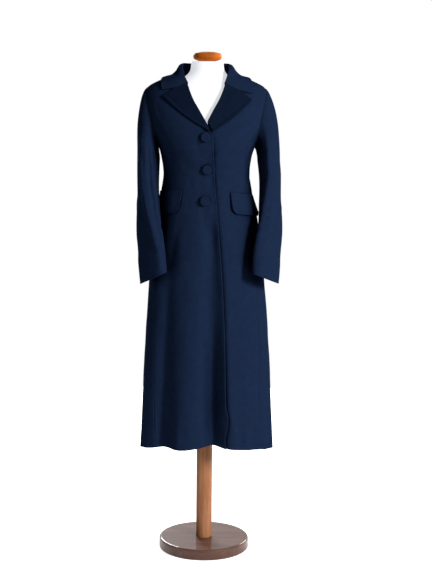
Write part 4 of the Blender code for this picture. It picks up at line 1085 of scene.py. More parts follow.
def noise(t, coord, scale, size=(1, 1, 1), detail=3.0, rough=0.55, distortion=0.0, at=(0, 0, 0)):
    mp = t.nodes.new("ShaderNodeMapping")
    mp.inputs["Scale"].default_value = size
    mp.inputs["Location"].default_value = at
    n = t.nodes.new("ShaderNodeTexNoise")
    n.inputs["Scale"].default_value = scale
    n.inputs["Detail"].default_value = detail
    n.inputs["Roughness"].default_value = rough
    n.inputs["Distortion"].default_value = distortion
    link(t, coord, mp.inputs["Vector"])
    link(t, mp.outputs["Vector"], n.inputs["Vector"])
    return n.outputs["Fac"]


def ramp(t, fac, stops):
    r = t.nodes.new("ShaderNodeValToRGB")
    e = r.color_ramp.elements
    e[0].position, e[0].color = stops[0][0], (*stops[0][1], 1)
    e[1].position, e[1].color = stops[-1][0], (*stops[-1][1], 1)
    for p, c in stops[1:-1]:
        k = e.new(p)
        k.color = (*c, 1)
    link(t, fac, r.inputs["Fac"])
    return r.outputs["Color"]


def mix(t, kind, fac, a, b):
    m = t.nodes.new("ShaderNodeMix")
    m.data_type = "RGBA"
    m.blend_type = kind
    if isinstance(fac, float):
        m.inputs["Factor"].default_value = fac
    else:
        link(t, fac, m.inputs["Factor"])
    for s, v in (("A", a), ("B", b)):
        socket = [i for i in m.inputs if i.name == s and i.type == "RGBA"][0]
        if isinstance(v, tuple):
            socket.default_value = (*v, 1)
        else:
            link(t, v, socket)
    return [o for o in m.outputs if o.type == "RGBA"][0]


def scaled(t, v, k):
    m = t.nodes.new("ShaderNodeMath")
    m.operation = "MULTIPLY"
    m.inputs[1].default_value = k
    link(t, v, m.inputs[0])
    return m.outputs[0]


def added(t, a, b):
    m = t.nodes.new("ShaderNodeMath")
    m.operation = "ADD"
    link(t, a, m.inputs[0])
    link(t, b, m.inputs[1])
    return m.outputs[0]


def bump(t, b, height, distance, strength=1.0):
    k = t.nodes.new("ShaderNodeBump")
    k.inputs["Distance"].default_value = distance
    k.inputs["Strength"].default_value = strength
    link(t, height, k.inputs["Height"])
    link(t, k.outputs["Normal"], b.inputs["Normal"])


def wool(name, colour, nap=1.0, sheen=0.05):
    """Brushed wool coating: short nap lying downwards, faint mottling, a soft sheen, and painted shade: the colour is
    darkened by ambient occlusion in creases, seams, notches and under overlapping parts.
    """
    m, t, b = nodes_of(name)
    c = t.nodes.new("ShaderNodeTexCoord").outputs["Object"]
    mottle = noise(t, c, 55.0, detail=4.0, rough=0.6)
    streak = noise(t, c, 420.0, size=(1.0, 1.0, 0.28), detail=4.0, rough=0.62, distortion=0.4)
    fibre = noise(t, c, 1500.0, size=(1.0, 1.0, 0.45), detail=2.0, rough=0.6, at=(3.1, 1.7, 0.4))
    dark = tuple(v * 0.92 for v in colour)
    light = tuple(min(1, v * 1.09) for v in colour)
    base = ramp(t, mottle, ((0.30, dark), (0.52, colour), (0.74, light)))
    k1 = ramp(t, streak, ((0.28, (0.84, 0.85, 0.86)), (0.55, (1.0, 1.0, 1.0)), (0.78, (1.20, 1.19, 1.17))))
    k2 = ramp(t, fibre, ((0.30, (0.86, 0.87, 0.88)), (0.56, (1.0, 1.0, 1.0)), (0.74, (1.20, 1.20, 1.20))))
    col = mix(t, "MULTIPLY", 1.0, base, k1)
    col = mix(t, "MULTIPLY", 1.0, col, k2)
    # painted shade: ambient occlusion darkens the cloth's colour in creases, seams, gaps and under overlapping parts
    near = t.nodes.new("ShaderNodeAmbientOcclusion")
    near.samples = 8
    near.inputs["Distance"].default_value = 0.080
    depth = ramp(t, near.outputs["AO"], ((0.20, (0.15, 0.15, 0.17)), (0.55, (0.47, 0.47, 0.49)), (0.84, (1.0, 1.0, 1.0))))
    col = mix(t, "MULTIPLY", 1.0, col, depth)
    link(t, col, b.inputs["Base Color"])
    b.inputs["Roughness"].default_value = 0.88
    b.inputs["Specular IOR Level"].default_value = 0.0
    b.inputs["Sheen Weight"].default_value = sheen
    b.inputs["Sheen Roughness"].default_value = 0.28
    b.inputs["Sheen Tint"].default_value = (0.30, 0.42, 0.70, 1)
    h = added(t, scaled(t, streak, 0.62), scaled(t, fibre, 0.38))
    bump(t, b, h, 0.00055 * nap, 0.75)
    return m


def jersey():
    """Fine knitted cover: rows of small loops, seen only close up. It also glows: painted light that fills the shade on
    it and keeps it white.
    """
    m, t, b = nodes_of("form_jersey")
    c = t.nodes.new("ShaderNodeTexCoord").outputs["Object"]
    w = t.nodes.new("ShaderNodeTexWave")
    w.wave_type = "BANDS"
    w.bands_direction = "Z"
    w.inputs["Scale"].default_value = 170.0
    w.inputs["Distortion"].default_value = 1.2
    w.inputs["Detail"].default_value = 2.0
    link(t, c, w.inputs["Vector"])
    n = noise(t, c, 900.0, detail=3.0)
    soft = noise(t, c, 9.0, detail=3.0)
    base = ramp(t, soft, ((0.3, (0.43, 0.44, 0.455)), (0.7, (0.48, 0.49, 0.505))))
    k = ramp(t, n, ((0.3, (0.95, 0.95, 0.95)), (0.7, (1.0, 1.0, 1.0))))
    link(t, mix(t, "MULTIPLY", 1.0, base, k), b.inputs["Base Color"])
    b.inputs["Roughness"].default_value = 0.85
    b.inputs["Sheen Weight"].default_value = 0.10
    # painted light: the cover glows, so the grey base colour plus this glow reads white and its shade is filled
    b.inputs["Emission Color"].default_value = (0.95, 0.97, 1.0, 1)
    b.inputs["Emission Strength"].default_value = 0.62
    b.inputs["Specular IOR Level"].default_value = 0.25
    bump(t, b, added(t, scaled(t, w.outputs["Fac"], 0.5), scaled(t, n, 0.5)), 0.00025, 0.6)
    return m


def wood(name, dark, mid, light, grain, coat_weight, rough, coat_rough=0.06, scale=60.0, spec=0.5):
    """Varnished wood: long grain along one axis, pores, and a clear coat."""
    m, t, b = nodes_of(name)
    c = t.nodes.new("ShaderNodeTexCoord").outputs["Object"]
    broad = noise(t, c, scale * 0.33, size=grain, detail=4.0, rough=0.55, distortion=0.9)
    lines = noise(t, c, scale, size=grain, detail=8.0, rough=0.68, distortion=0.35, at=(0.7, 0.2, 0.5))
    pores = noise(t, c, scale * 5.5, size=grain, detail=3.0, rough=0.6, at=(1.3, 2.1, 0.2))
    col = ramp(t, broad, ((0.28, dark), (0.50, mid), (0.74, light)))
    k1 = ramp(t, lines, ((0.32, (0.70, 0.68, 0.66)), (0.52, (1.0, 1.0, 1.0)), (0.72, (1.16, 1.14, 1.10))))
    k2 = ramp(t, pores, ((0.34, (0.72, 0.70, 0.68)), (0.46, (1.0, 1.0, 1.0)), (0.80, (1.0, 1.0, 1.0))))
    col = mix(t, "MULTIPLY", 1.0, col, k1)
    col = mix(t, "MULTIPLY", 0.85, col, k2)
    link(t, col, b.inputs["Base Color"])
    r = t.nodes.new("ShaderNodeMapRange")
    r.inputs["To Min"].default_value = rough * 0.85
    r.inputs["To Max"].default_value = rough * 1.2
    link(t, lines, r.inputs["Value"])
    link(t, r.outputs["Result"], b.inputs["Roughness"])
    b.inputs["Coat Weight"].default_value = coat_weight
    b.inputs["Specular IOR Level"].default_value = spec
    b.inputs["Coat Roughness"].default_value = coat_rough
    bump(t, b, lines, 0.00012, 0.5)
    return m


NAVY = (0.0088, 0.0176, 0.0450)
TRIM = (0.0084, 0.0168, 0.0425)
# painted shade: the lapels are the same navy cloth, made darker to stand for the shade that falls on them
LAPEL_SHADED = (0.0046, 0.0096, 0.0240)
m_wool = wool("wool_navy", NAVY)
m_lapel_shaded = wool("wool_navy_lapel_shaded", LAPEL_SHADED)
m_trim = wool("wool_navy_trim", TRIM, nap=0.8)
m_form = jersey()
m_cap = wood("cap_wood", (0.32, 0.066, 0.005), (0.57, 0.135, 0.010), (0.74, 0.230, 0.026), (0.25, 1.0, 1.0), 0.0, 0.50, 0.30, 70.0, spec=0.08)
m_pole = wood("pole_wood", (0.245, 0.094, 0.042), (0.370, 0.156, 0.073), (0.480, 0.230, 0.114), (1.0, 1.0, 0.045), 0.0, 0.52, 0.30, 95.0, spec=0.12)
m_base = wood("base_wood", (0.056, 0.021, 0.013), (0.094, 0.038, 0.025), (0.146, 0.064, 0.044), (0.07, 1.0, 1.0), 0.42, 0.40, 0.05, 60.0, spec=0.10)

pieces_made = {}


def keep(ob, node):
    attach(ob, "root")
    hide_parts(node)
    pieces_made[ob.name] = ob
    return ob


# ---------------------------------------------------------------- body pieces
def normals_for(deg, hgt):
    return body_normal(deg, hgt, 0.25, 0.001)


def make_fronts():
    for side, name in ((-1, "front_right"), (1, "front_left")):
        top = side < 0
        deg, hgt = fine_front(side, top)
        lift = np.zeros(deg.shape) if top else under_lift(deg, hgt)
        n = normals_for(deg, hgt)
        if top:
            plain = body(deg, hgt)
            off = edge_distances(plain)[0]["u1"]
            lift = 0.0030 * np.exp(-((off / 0.011) ** 2)) * (1 - smooth((hgt - 1.385) / 0.03))
        p = body(deg, hgt) + n * lift[..., None]
        n = grid_normals(p) if not top else n
        if not top and (n[..., 1].mean() > 0):
            n = -n
        outer, inner = finished(p, n, CLOTH, free="v0 u1", seams="u0 v1")
        keep(shell("coat_" + name, outer, inner, m_wool), name)


def make_sides():
    for side, name in ((-1, "side_panel_right"), (1, "side_panel_left")):
        deg, hgt = fine_side(side)
        outer, inner = finished(body(deg, hgt), normals_for(deg, hgt), CLOTH, free="v0", seams="u0 u1 v1")
        keep(shell("coat_" + name, outer, inner, m_wool), name)


def make_back():
    deg, hgt = fine_back()
    outer, inner = finished(body(deg, hgt), normals_for(deg, hgt), CLOTH, free="v0", seams="u0 u1 v1")
    keep(shell("coat_back", outer, inner, m_wool), "back")


# -------------------------------------------------------------------- sleeves
# Creases of a sleeve: angle round it (0 outside, 90 front, 180 body side) and height.
SLEEVE_CREASES_RIGHT = table(
    "angle0 z0 angle1 z1 width depth bow",
    (58.0, 1.440, 62.0, 0.960, 0.0090, 0.0062, 0.004),
    (92.0, 1.410, 101.0, 0.955, 0.0100, -0.0078, -0.004),
    (24.0, 1.430, 30.0, 0.975, 0.0085, -0.0034, 0.003),
    (252.0, 1.400, 246.0, 0.965, 0.0095, -0.0040, 0.003),
    (62.0, 1.205, 150.0, 1.172, 0.0075, -0.0034, 0.006),
    (48.0, 1.168, 142.0, 1.146, 0.0070, -0.0040, -0.004),
    (70.0, 1.140, 155.0, 1.118, 0.0065, -0.0030, 0.004),
    (40.0, 1.118, 118.0, 1.086, 0.0080, -0.0024, 0.005),
    (20.0, 1.240, 70.0, 1.200, 0.0090, -0.0018, 0.004),
    (-28.0, 1.215, 16.0, 1.120, 0.0085, 0.0022, 0.004),
    (200.0, 1.190, 262.0, 1.160, 0.0085, -0.0026, 0.004),
    (206.0, 1.140, 270.0, 1.122, 0.0080, -0.0022, -0.004),
    (55.0, 1.390, 78.0, 1.300, 0.0080, -0.0026, 0.004),
    (30.0, 1.420, 46.0, 1.330, 0.0090, -0.0016, -0.003),
    (100.0, 1.330, 118.0, 1.262, 0.0080, -0.0022, 0.003),
    (300.0, 1.400, 286.0, 1.300, 0.0090, -0.0022, 0.003),
    (255.0, 1.350, 240.0, 1.260, 0.0090, -0.0026, -0.003),
    (28.0, 1.052, 96.0, 1.020, 0.0080, -0.0016, 0.003),
    (330.0, 1.075, 296.0, 1.000, 0.0100, -0.0016, 0.003),
)
SLEEVE_CREASES_LEFT = table(
    "angle0 z0 angle1 z1 width depth bow",
    (92.0, 1.450, 94.0, 0.955, 0.0110, 0.0072, -0.003),
    (132.0, 1.420, 136.0, 0.960, 0.0090, -0.0040, 0.004),
    (18.0, 1.430, 22.0, 0.985, 0.0080, -0.0026, -0.003),
    (250.0, 1.395, 245.0, 0.970, 0.0100, -0.0042, -0.003),
    (66.0, 1.188, 152.0, 1.158, 0.0075, -0.0032, 0.005),
    (50.0, 1.150, 140.0, 1.132, 0.0070, -0.0038, -0.004),
    (76.0, 1.122, 156.0, 1.098, 0.0065, -0.0028, 0.004),
    (42.0, 1.094, 112.0, 1.066, 0.0080, -0.0020, 0.004),
    (14.0, 1.262, 66.0, 1.226, 0.0090, -0.0016, 0.004),
    (-24.0, 1.190, 12.0, 1.100, 0.0085, 0.0018, -0.004),
    (204.0, 1.176, 258.0, 1.150, 0.0085, -0.0024, 0.004),
    (210.0, 1.120, 266.0, 1.104, 0.0080, -0.0020, -0.004),
    (50.0, 1.380, 74.0, 1.292, 0.0080, -0.0022, 0.003),
    (26.0, 1.430, 40.0, 1.345, 0.0090, -0.0014, -0.003),
    (104.0, 1.320, 120.0, 1.250, 0.0080, -0.0020, 0.003),
    (304.0, 1.410, 290.0, 1.310, 0.0090, -0.0020, 0.003),
    (250.0, 1.340, 238.0, 1.255, 0.0090, -0.0024, -0.003),
    (34.0, 1.040, 98.0, 1.012, 0.0080, -0.0014, 0.003),
    (326.0, 1.066, 300.0, 0.990, 0.0100, -0.0014, 0.003),
)


def make_sleeves():
    rows = len(UPPER_FRONT["arm_z"])
    seam_at = (9.0, 18.0)
    for side, name in ((-1, "right"), (1, "left")):
        loop, pts, run = fine_loop(side)
        total = run[-1]
        index = loop[:, 2]

        def run_of(i):
            return float(np.interp(i, index, run[:-1]))

        under = run_of(rows - 1 + 3.0) / total
        a, b = run_of(seam_at[0]), run_of(seam_at[1])
        spans = {"upper": (b, total + a), "under": (a, b)}
        coarse = table("t", *[(v,) for v in CAP_TURNS])["t"]
        turns = np.concatenate([[0, 0.004, 0.010, 0.018, 0.028, 0.042], np.linspace(0.06, 1.0, 30)])
        levels = np.concatenate([np.arange(SLEEVE_TOP - 0.005, 0.9515, -0.005), [0.9515]])
        end_near = 0.95 + np.array(NEAR)[::-1]
        levels = np.concatenate([levels[levels > end_near[0] + 0.003], end_near])
        for kind, (lo, hi) in spans.items():
            share = positions(hi - lo, 0.0036)
            at = lo + (hi - lo) * share
            at_mod = np.mod(at, total)
            full_pts = np.vstack([pts, pts[:1]])
            base = np.stack([np.interp(at_mod, run, full_pts[:, k]) for k in range(3)], -1)
            frac = at_mod / total
            phi = np.where(frac < under, 180.0 * frac / under, 180.0 + 180.0 * (frac - under) / (1 - under))
            outward = np.array([side * 1.0, 0.0, -0.22])
            outward = outward / np.linalg.norm(outward)
            start = base - outward * 0.0022
            end = sleeve_ring(side, phi, np.full(len(phi), SLEEVE_TOP))
            top = 0.5 + 0.5 * np.cos(np.radians(phi))
            grid, zs = [], []
            for t in turns:
                h00, h10 = 2 * t**3 - 3 * t**2 + 1, t**3 - 2 * t**2 + t
                h01, h11 = -2 * t**3 + 3 * t**2, t**3 - t**2
                reach = (0.018 + 0.080 * top)[:, None]
                fall = np.stack([0 * phi, 0 * phi, -(start[:, 2] - end[:, 2]) * (0.75 + 0.35 * top) - 0.01], -1)
                grid.append(h00 * start + h10 * outward * reach + h01 * end + h11 * fall)
            for z in levels:
                grid.append(sleeve_ring(side, phi, np.full(len(phi), z)))
            p = np.array(grid).transpose(1, 0, 2)
            n = grid_normals(p)
            centre = np.array([side * 0.20, 0.0])
            mid_phi = np.radians(phi[len(phi) // 2])
            r = sleeve_ring(side, phi[len(phi) // 2], 1.2) - sleeve_ring(side, phi[len(phi) // 2] + 180.0, 1.2)
            k = p.shape[1] // 2 + 10
            if np.dot(n[len(phi) // 2, k], r) < 0:
                n = -n
            # creases, the eased head, soft waves
            table_of = SLEEVE_CREASES_RIGHT if side < 0 else SLEEVE_CREASES_LEFT
            height = p[..., 2]
            ang = np.broadcast_to(phi[:, None], height.shape)
            lift = crease_lift(table_of, ang, height, 0.00105, True)
            flat_t = np.concatenate([turns, np.full(len(levels), 1.0)])[None, :]
            d0 = edge_distances(p)[2]
            head = np.cos(np.radians(np.clip(ang, -90, 450))) * 0.5 + 0.5
            lift = lift + 0.0005 * head**2 * np.exp(-(((d0 - 0.014) / 0.010) ** 2))
            ripple = np.sin(np.radians(ang) * 17 + 1.2 * np.sin(np.radians(ang) * 5)) * 0.00035
            lift = lift + ripple * head**1.5 * np.exp(-(((d0 - 0.010) / 0.009) ** 2)) * smooth(d0 / 0.003)
            ra = np.radians(ang)
            lift = lift + 0.0005 * np.sin(3 * ra + 31 * height + 0.5) + 0.00035 * np.sin(5 * ra - 47 * height + side)
            lift = lift * smooth(d0 / 0.004)
            p = p + n * lift[..., None]
            n2 = grid_normals(p)
            if (n2 * n).sum(-1).mean() < 0:
                n2 = -n2
            outer, inner = finished(p, n2, CLOTH, free="v1", seams="u0 u1 v0")
            keep(shell(f"coat_{kind}_sleeve_{name}", outer, inner, m_wool), f"{kind}_sleeve_{name}")


# ------------------------------------------------------------ lapels and collar
ROLL_RADIUS = 0.0038


def make_lapels():
    for side, name in ((-1, "lapel_right"), (1, "lapel_left")):
        x, z = lapel_grid(side)
        m = x.shape[0]
        length = np.concatenate([[0], np.cumsum(np.hypot(np.diff(x[:, 0]), np.diff(z[:, 0])))])
        rows_t = positions(float(length[-1]), 0.0028, NEAR, NEAR)
        at = length / length[-1]
        q0 = np.array([0.0, 0.06, 0.2, 0.38, 0.57, 0.78, 1.0])
        rx, rz = curve(at, x[:, 0])(rows_t), curve(at, z[:, 0])(rows_t)
        # the outer edge, with its belly, is in the grid's last column
        ex, ez = curve(at, x[:, -1])(rows_t), curve(at, z[:, -1])(rows_t)
        kx = curve(at, x[:, 4])(rows_t)
        kz = curve(at, z[:, 4])(rows_t)
        width = np.hypot(ex - rx, ez - rz)
        rad = np.minimum(ROLL_RADIUS, 0.42 * width)
        cols = positions(0.105, 0.0028, (0.0, 0.0006, 0.0014, 0.0024, 0.0040, 0.0065, 0.0095, 0.0130), NEAR)
        deg_rows, z_rows, h_rows = [], [], []
        turn = np.radians(np.array([180, 162, 144, 126, 108, 90, 72, 54, 36, 18]))
        grid = []
        for i in range(len(rows_t)):
            R = rad[i]
            s0 = R / width[i]
            q_flat = s0 + (1 - s0) * cols
            q = np.concatenate([s0 * (1 - np.sin(turn)), q_flat])
            # a broken line through the notch's corner column
            px = np.where(q <= 0.57, rx[i] + (kx[i] - rx[i]) * q / 0.57, kx[i] + (ex[i] - kx[i]) * (q - 0.57) / 0.43)
            pz = np.where(q <= 0.57, rz[i] + (kz[i] - rz[i]) * q / 0.57, kz[i] + (ez[i] - kz[i]) * (q - 0.57) / 0.43)
            s = q * width[i]
            to_edge = (1 - q) * width[i]
            top = LIE + COLLAR_CLOTH + 0.0022 * np.exp(-((s / 0.016) ** 2)) + 0.0024 * np.exp(-((to_edge / 0.012) ** 2)) - 0.0010 * np.exp(-(((to_edge - 0.011) / 0.0035) ** 2))
            top = top + 0.0010 * np.sin(np.pi * np.clip(q, 0, 1)) * rows_t[i]
            h0 = top[len(turn)]
            top[: len(turn)] = h0 - R + R * np.cos(turn)
            deg = side * angle_x(px, pz)
            base = np.zeros(deg.shape) if side < 0 else under_lift(deg, pz)
            grid.append(body(deg, pz) + normals_for(deg, pz) * (base + top)[:, None])
        p = np.array(grid)
        q_of = np.concatenate([np.zeros(len(turn)), cols])
        under = 1 - smooth((q_of - 0.44) / 0.10)
        way = p[-1] - p[-14]
        way /= np.linalg.norm(way, axis=-1, keepdims=True)
        extra = []
        for step_up, drop in ((0.0008, 0.0003), (0.0020, 0.0011), (0.0042, 0.0018)):
            e = p[-1] + way * np.maximum(step_up * under, 0.00004 * step_up / 0.0008)[:, None]
            e[:, 1] += drop * under
            extra.append(e)
        p = np.concatenate([p, np.array(extra)])
        n = grid_normals(p)
        if n[len(n) // 2, -len(cols) // 2, 1] > 0:
            n = -n
        outer, inner = finished(p, n, COLLAR_CLOTH, free="v1 u1 u0", seams="", band=0.0005)
        keep(shell("coat_" + name, outer, inner, m_lapel_shaded), name)


def make_collar():
    half_len = 0.30
    h = positions(half_len, 0.0042, NEAR, (0.0,))
    steps = h / h[-1]
    turns = np.concatenate([np.linspace(0, 0.88, 34), 1 - np.array([0.1, 0.085, 0.07, 0.055, 0.045, 0.035, 0.024, 0.015, 0.008, 0.003, 0.0])])
    p = collar_fall_grid(tuple(steps), tuple(turns)).transpose(1, 0, 2)
    s = np.array([v - 1.0 for v in steps] + [1.0 - v for v in steps[-2::-1]])
    roll, edge, part, side = collar_guides(s)
    middle = np.array([-0.005, 0.006])
    inward = middle - roll[:, :2]
    inward /= np.linalg.norm(inward, axis=1, keepdims=True)
    R = 0.0030
    wrap = []
    for a in np.radians([128, 108, 90, 72, 54, 36, 18]):
        w = roll.copy()
        w[:, :2] += inward * R * np.sin(a)
        w[:, 2] += -R + R * np.cos(a)
        wrap.append(w)
    p = np.concatenate([np.array(wrap).transpose(1, 0, 2), p], axis=1)
    far = edge_distances(p)[0]
    n = grid_normals(p)
    if n[len(n) // 2, 20, 2] < 0:
        n = -n
    # the fall bows a little and its outer edge stands off the shoulders
    wave = 0.0005 * np.sin(9 * s + 0.7)[:, None] * np.sin(np.linspace(0, 9, p.shape[1]) ** 1.1)[None, :]
    lift = wave + 0.0012 * np.exp(-((far["v1"] / 0.016) ** 2)) * smooth(np.minimum(far["u0"], far["u1"]) / 0.03)
    p = p + n * lift[..., None]
    outer, inner = finished(p, n, COLLAR_CLOTH, free="u0 u1 v1", seams="", band=0.0005)
    keep(shell("coat_collar_fall", outer, inner, m_wool), "collar_fall")

    grid, flat = stand_grid()
    k = np.linspace(0, len(grid[0]) - 1, 220)
    base = np.stack([np.interp(k, np.arange(grid.shape[1]), grid[0][:, c]) for c in range(3)], -1)
    tip = np.stack([np.interp(k, np.arange(grid.shape[1]), grid[-1][:, c]) for c in range(3)], -1)
    inw = np.stack([np.interp(k, np.arange(grid.shape[1]), flat[0][:, c]) for c in range(3)], -1)
    inw /= np.linalg.norm(inw, axis=-1, keepdims=True)
    rows = []
    for t in np.linspace(0, 1, 14):
        rows.append(base + (tip - base) * t + inw * 0.0014 * t)
    p = np.array(rows).transpose(1, 0, 2)
    nn = np.broadcast_to(inw[:, None, :], p.shape)
    outer, inner = finished(p + nn * COLLAR_CLOTH, nn, COLLAR_CLOTH, free="v1", seams="v0", band=0, stitch=0)
    keep(shell("coat_collar_stand", outer, inner, m_wool), "collar_stand")


# -------------------------------------------------------- flaps, holes, buttons
def make_flaps():
    for side, name in ((-1, "flap_right"), (1, "flap_left")):
        f = {n: FLAPS[n][0 if side < 0 else 1] for n in FLAPS}
        a = {k: (float(angle_x(f[k], f[k + "_z"])), f[k + "_z"]) for k in ("top_in", "top_out", "low_in", "low_out")}
        u = positions(0.085, 0.0022, NEAR, NEAR)
        v = positions(0.075, 0.0022, NEAR, SEAM_NEAR)
        U, V = np.meshgrid(u, v, indexing="ij")
        top = [a["top_in"][k] + (a["top_out"][k] - a["top_in"][k]) * U for k in (0, 1)]
        low = [a["low_in"][k] + (a["low_out"][k] - a["low_in"][k]) * U for k in (0, 1)]
        deg = low[0] + (top[0] - low[0]) * V
        z = low[1] + (top[1] - low[1]) * V
        ends = np.clip(1 - U / 0.14, 0, 1) ** 2.6 + np.clip(1 - (1 - U) / 0.14, 0, 1) ** 2.6
        z = z + FLAP_ROUND * 1.15 * ends * (1 - V) ** 2
        down = 1 - V
        lift = 0.0008 + 0.0034 * down + 0.0014 * np.sin(np.pi * U) * np.sin(np.pi * V)
        lift = lift + (0.0020 if side > 0 else 0.0006) * smooth((U - 0.7) / 0.3) * down
        lift = lift + (0.0032 if side > 0 else 0.0018) * smooth((0.20 - U) / 0.20) * (0.35 + 0.65 * down)
        lift = lift + FLAP_CLOTH
        n = normals_for(side * deg, z)
        p = body(side * deg, z) + n * lift[..., None]
        g = grid_normals(p)
        if (g * n).sum(-1).mean() < 0:
            g = -g
        outer, inner = finished(p, g, FLAP_CLOTH, free="u0 u1 v0", seams="v1", band=0.0005)
        keep(shell("coat_" + name, outer, inner, m_wool), name)


def surface_frame(x, z, lift):
    deg = angle_x(np.array(x), np.array(z))
    n = normals_for(deg, np.array(z))
    p = body(deg, np.array(z)) + n * lift
    right = np.cross([0, 0, 1.0], n)
    right /= np.linalg.norm(right)
    up = np.cross(n, right)
    m = Matrix([list(r) for r in np.array([right, up, n]).T]).to_4x4()
    m.translation = Vector(p)
    return m


def make_buttons():
    for i, (z, x) in enumerate(zip(BUTTONS["height"], BUTTONS["x"]), 1):
        hole_z = z + 0.0070 if i > 1 else z - 0.0005
        w, h = BUTTONHOLE[0] / 2, BUTTONHOLE[1] / 2
        uu = np.concatenate([[-w, -w + 0.0004, -w + 0.0010], np.linspace(-w + 0.002, w - 0.002, 40), [w - 0.0010, w - 0.0004, w]])
        vv = np.linspace(-h, h, 33)
        u, v = np.meshgrid(uu, vv, indexing="ij")
        uz = hole_z + v
        ux = x + 0.0030 + u if i > 1 else x - 0.0060 + u * 0.72
        deg = angle_x(ux, uz)
        lip = np.abs(np.abs(v) / h - 0.5) * 2
        high = 0.0006 + 0.0014 * np.sqrt(np.maximum(1 - lip**2, 0)) * smooth((w - np.abs(u)) / 0.0015)
        high = np.where(np.abs(v) < h * 0.04, 0.0004, high)
        n = normals_for(deg, uz)
        keep(shell(f"coat_buttonhole_{i}", body(deg, uz) + n * high[..., None], body(deg, uz) + n * 0.00015, m_trim), f"buttonhole_{i}")
        r = BUTTON_RADIUS
        prof = [(0.0, 0.0056)]
        prof += [(r * k, 0.0056 + 0.0005 * math.sin(k * 2.6) - 0.0010 * max(0, k - 0.55) ** 2 * 3) for k in np.linspace(0.06, 0.80, 14)]
        z_in = prof[-1][1]
        for a in np.radians(np.linspace(80, -80, 18)):
            prof.append((r * 0.83 + r * 0.17 * math.cos(a), 0.0030 + (z_in - 0.0030) * max(math.sin(a), 0) / math.sin(math.radians(80)) + min(math.sin(a), 0) * 0.0026))
        prof += [(r * 0.55, 0.0002), (r * 0.45, -0.0012), (r * 0.30, -0.0026), (0.0, -0.0026)]
        ob = lathe(f"coat_button_{i}", prof, m_trim, 72)
        # the cover's cloth gathers round the rim
        co = np.array([v.co for v in ob.data.vertices])
        rr = np.hypot(co[:, 0], co[:, 1])
        ang = np.arctan2(co[:, 1], co[:, 0])
        edge = np.clip((rr - r * 0.80) / (r * 0.2), 0, 1) * (co[:, 2] < 0.0050)
        k = 1 + 0.012 * edge * np.sin(18 * ang + i)
        co[:, 0] *= k
        co[:, 1] *= k
        ob.data.vertices.foreach_set("co", co.astype(np.float32).ravel())
        ob.matrix_world = surface_frame(x, z, 0.0040)
        keep(ob, f"button_{i}")


def make_form():
    rings = []
    heights = np.concatenate([
        np.linspace(0.9800, 0.9860, 5), np.arange(0.992, 1.55, 0.008), np.arange(1.552, 1.6495, 0.0035), [1.6500],
    ])
    at = {k: curve(FORM["height"], FORM[k]) for k in FORM if k != "height"}
    t = np.linspace(0, 2 * np.pi, 144, endpoint=False)
    s, c = np.sin(t), np.cos(t)
    for h in heights:
        a, f, b, n = (float(at[k](h)) for k in ("half", "front", "back", "power"))
        x = a * np.sign(s) * np.abs(s) ** (2 / n)
        y = -np.where(c > 0, f, b) * np.sign(c) * np.abs(c) ** (2 / n)
        rings.append(np.stack([x, y, np.full(len(t), h)], -1))
    m = len(t)
    verts = np.concatenate(rings)
    k = np.arange(m)
    nx = (k + 1) % m
    faces = np.concatenate([np.stack([i * m + k, i * m + nx, (i + 1) * m + nx, (i + 1) * m + k], -1) for i in range(len(rings) - 1)])
    me = bpy.data.meshes.new("form_body")
    caps = [tuple(range(m))[::-1], tuple(range((len(rings) - 1) * m, len(rings) * m))]
    me.from_pydata([tuple(map(float, v)) for v in verts], [], [tuple(map(int, f)) for f in faces] + caps)
    me.validate()
    me.shade_smooth()
    me.set_sharp_from_angle(angle=math.radians(50))
    ob = bpy.data.objects.new("form_body", me)
    me.materials.append(m_form)
    bpy.context.scene.collection.objects.link(ob)
    keep(ob, "dress_form")


def make_cap():
    r, hi = 0.0468, 1.6815
    prof = [(0.0, hi), (r * 0.25, hi - 0.0003), (r * 0.45, hi - 0.0010), (r * 0.62, hi - 0.0023), (r * 0.76, hi - 0.0044)]
    a = np.radians(np.linspace(52, -58, 26))
    prof += [(r * 0.78 + r * 0.22 * math.cos(v), hi - 0.0150 + 0.0128 * math.sin(v)) for v in a]
    prof += [(r * 0.80, hi - 0.0275), (r * 0.70, hi - 0.0296), (r * 0.64, hi - 0.0306), (r * 0.62, 1.6503), (0.0, 1.6503)]
    keep(lathe("form_cap", prof, m_cap, 128), "neck_cap")


def paint(node, mat):
    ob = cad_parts[node]
    if not ob.material_slots:
        ob.data.materials.append(mat)
    for s in ob.material_slots:
        s.material = mat


make_fronts()
make_sides()
make_back()
make_sleeves()
make_lapels()
make_collar()
make_flaps()
make_buttons()
make_form()
make_cap()
paint("pole", m_pole)
paint("base", m_base)


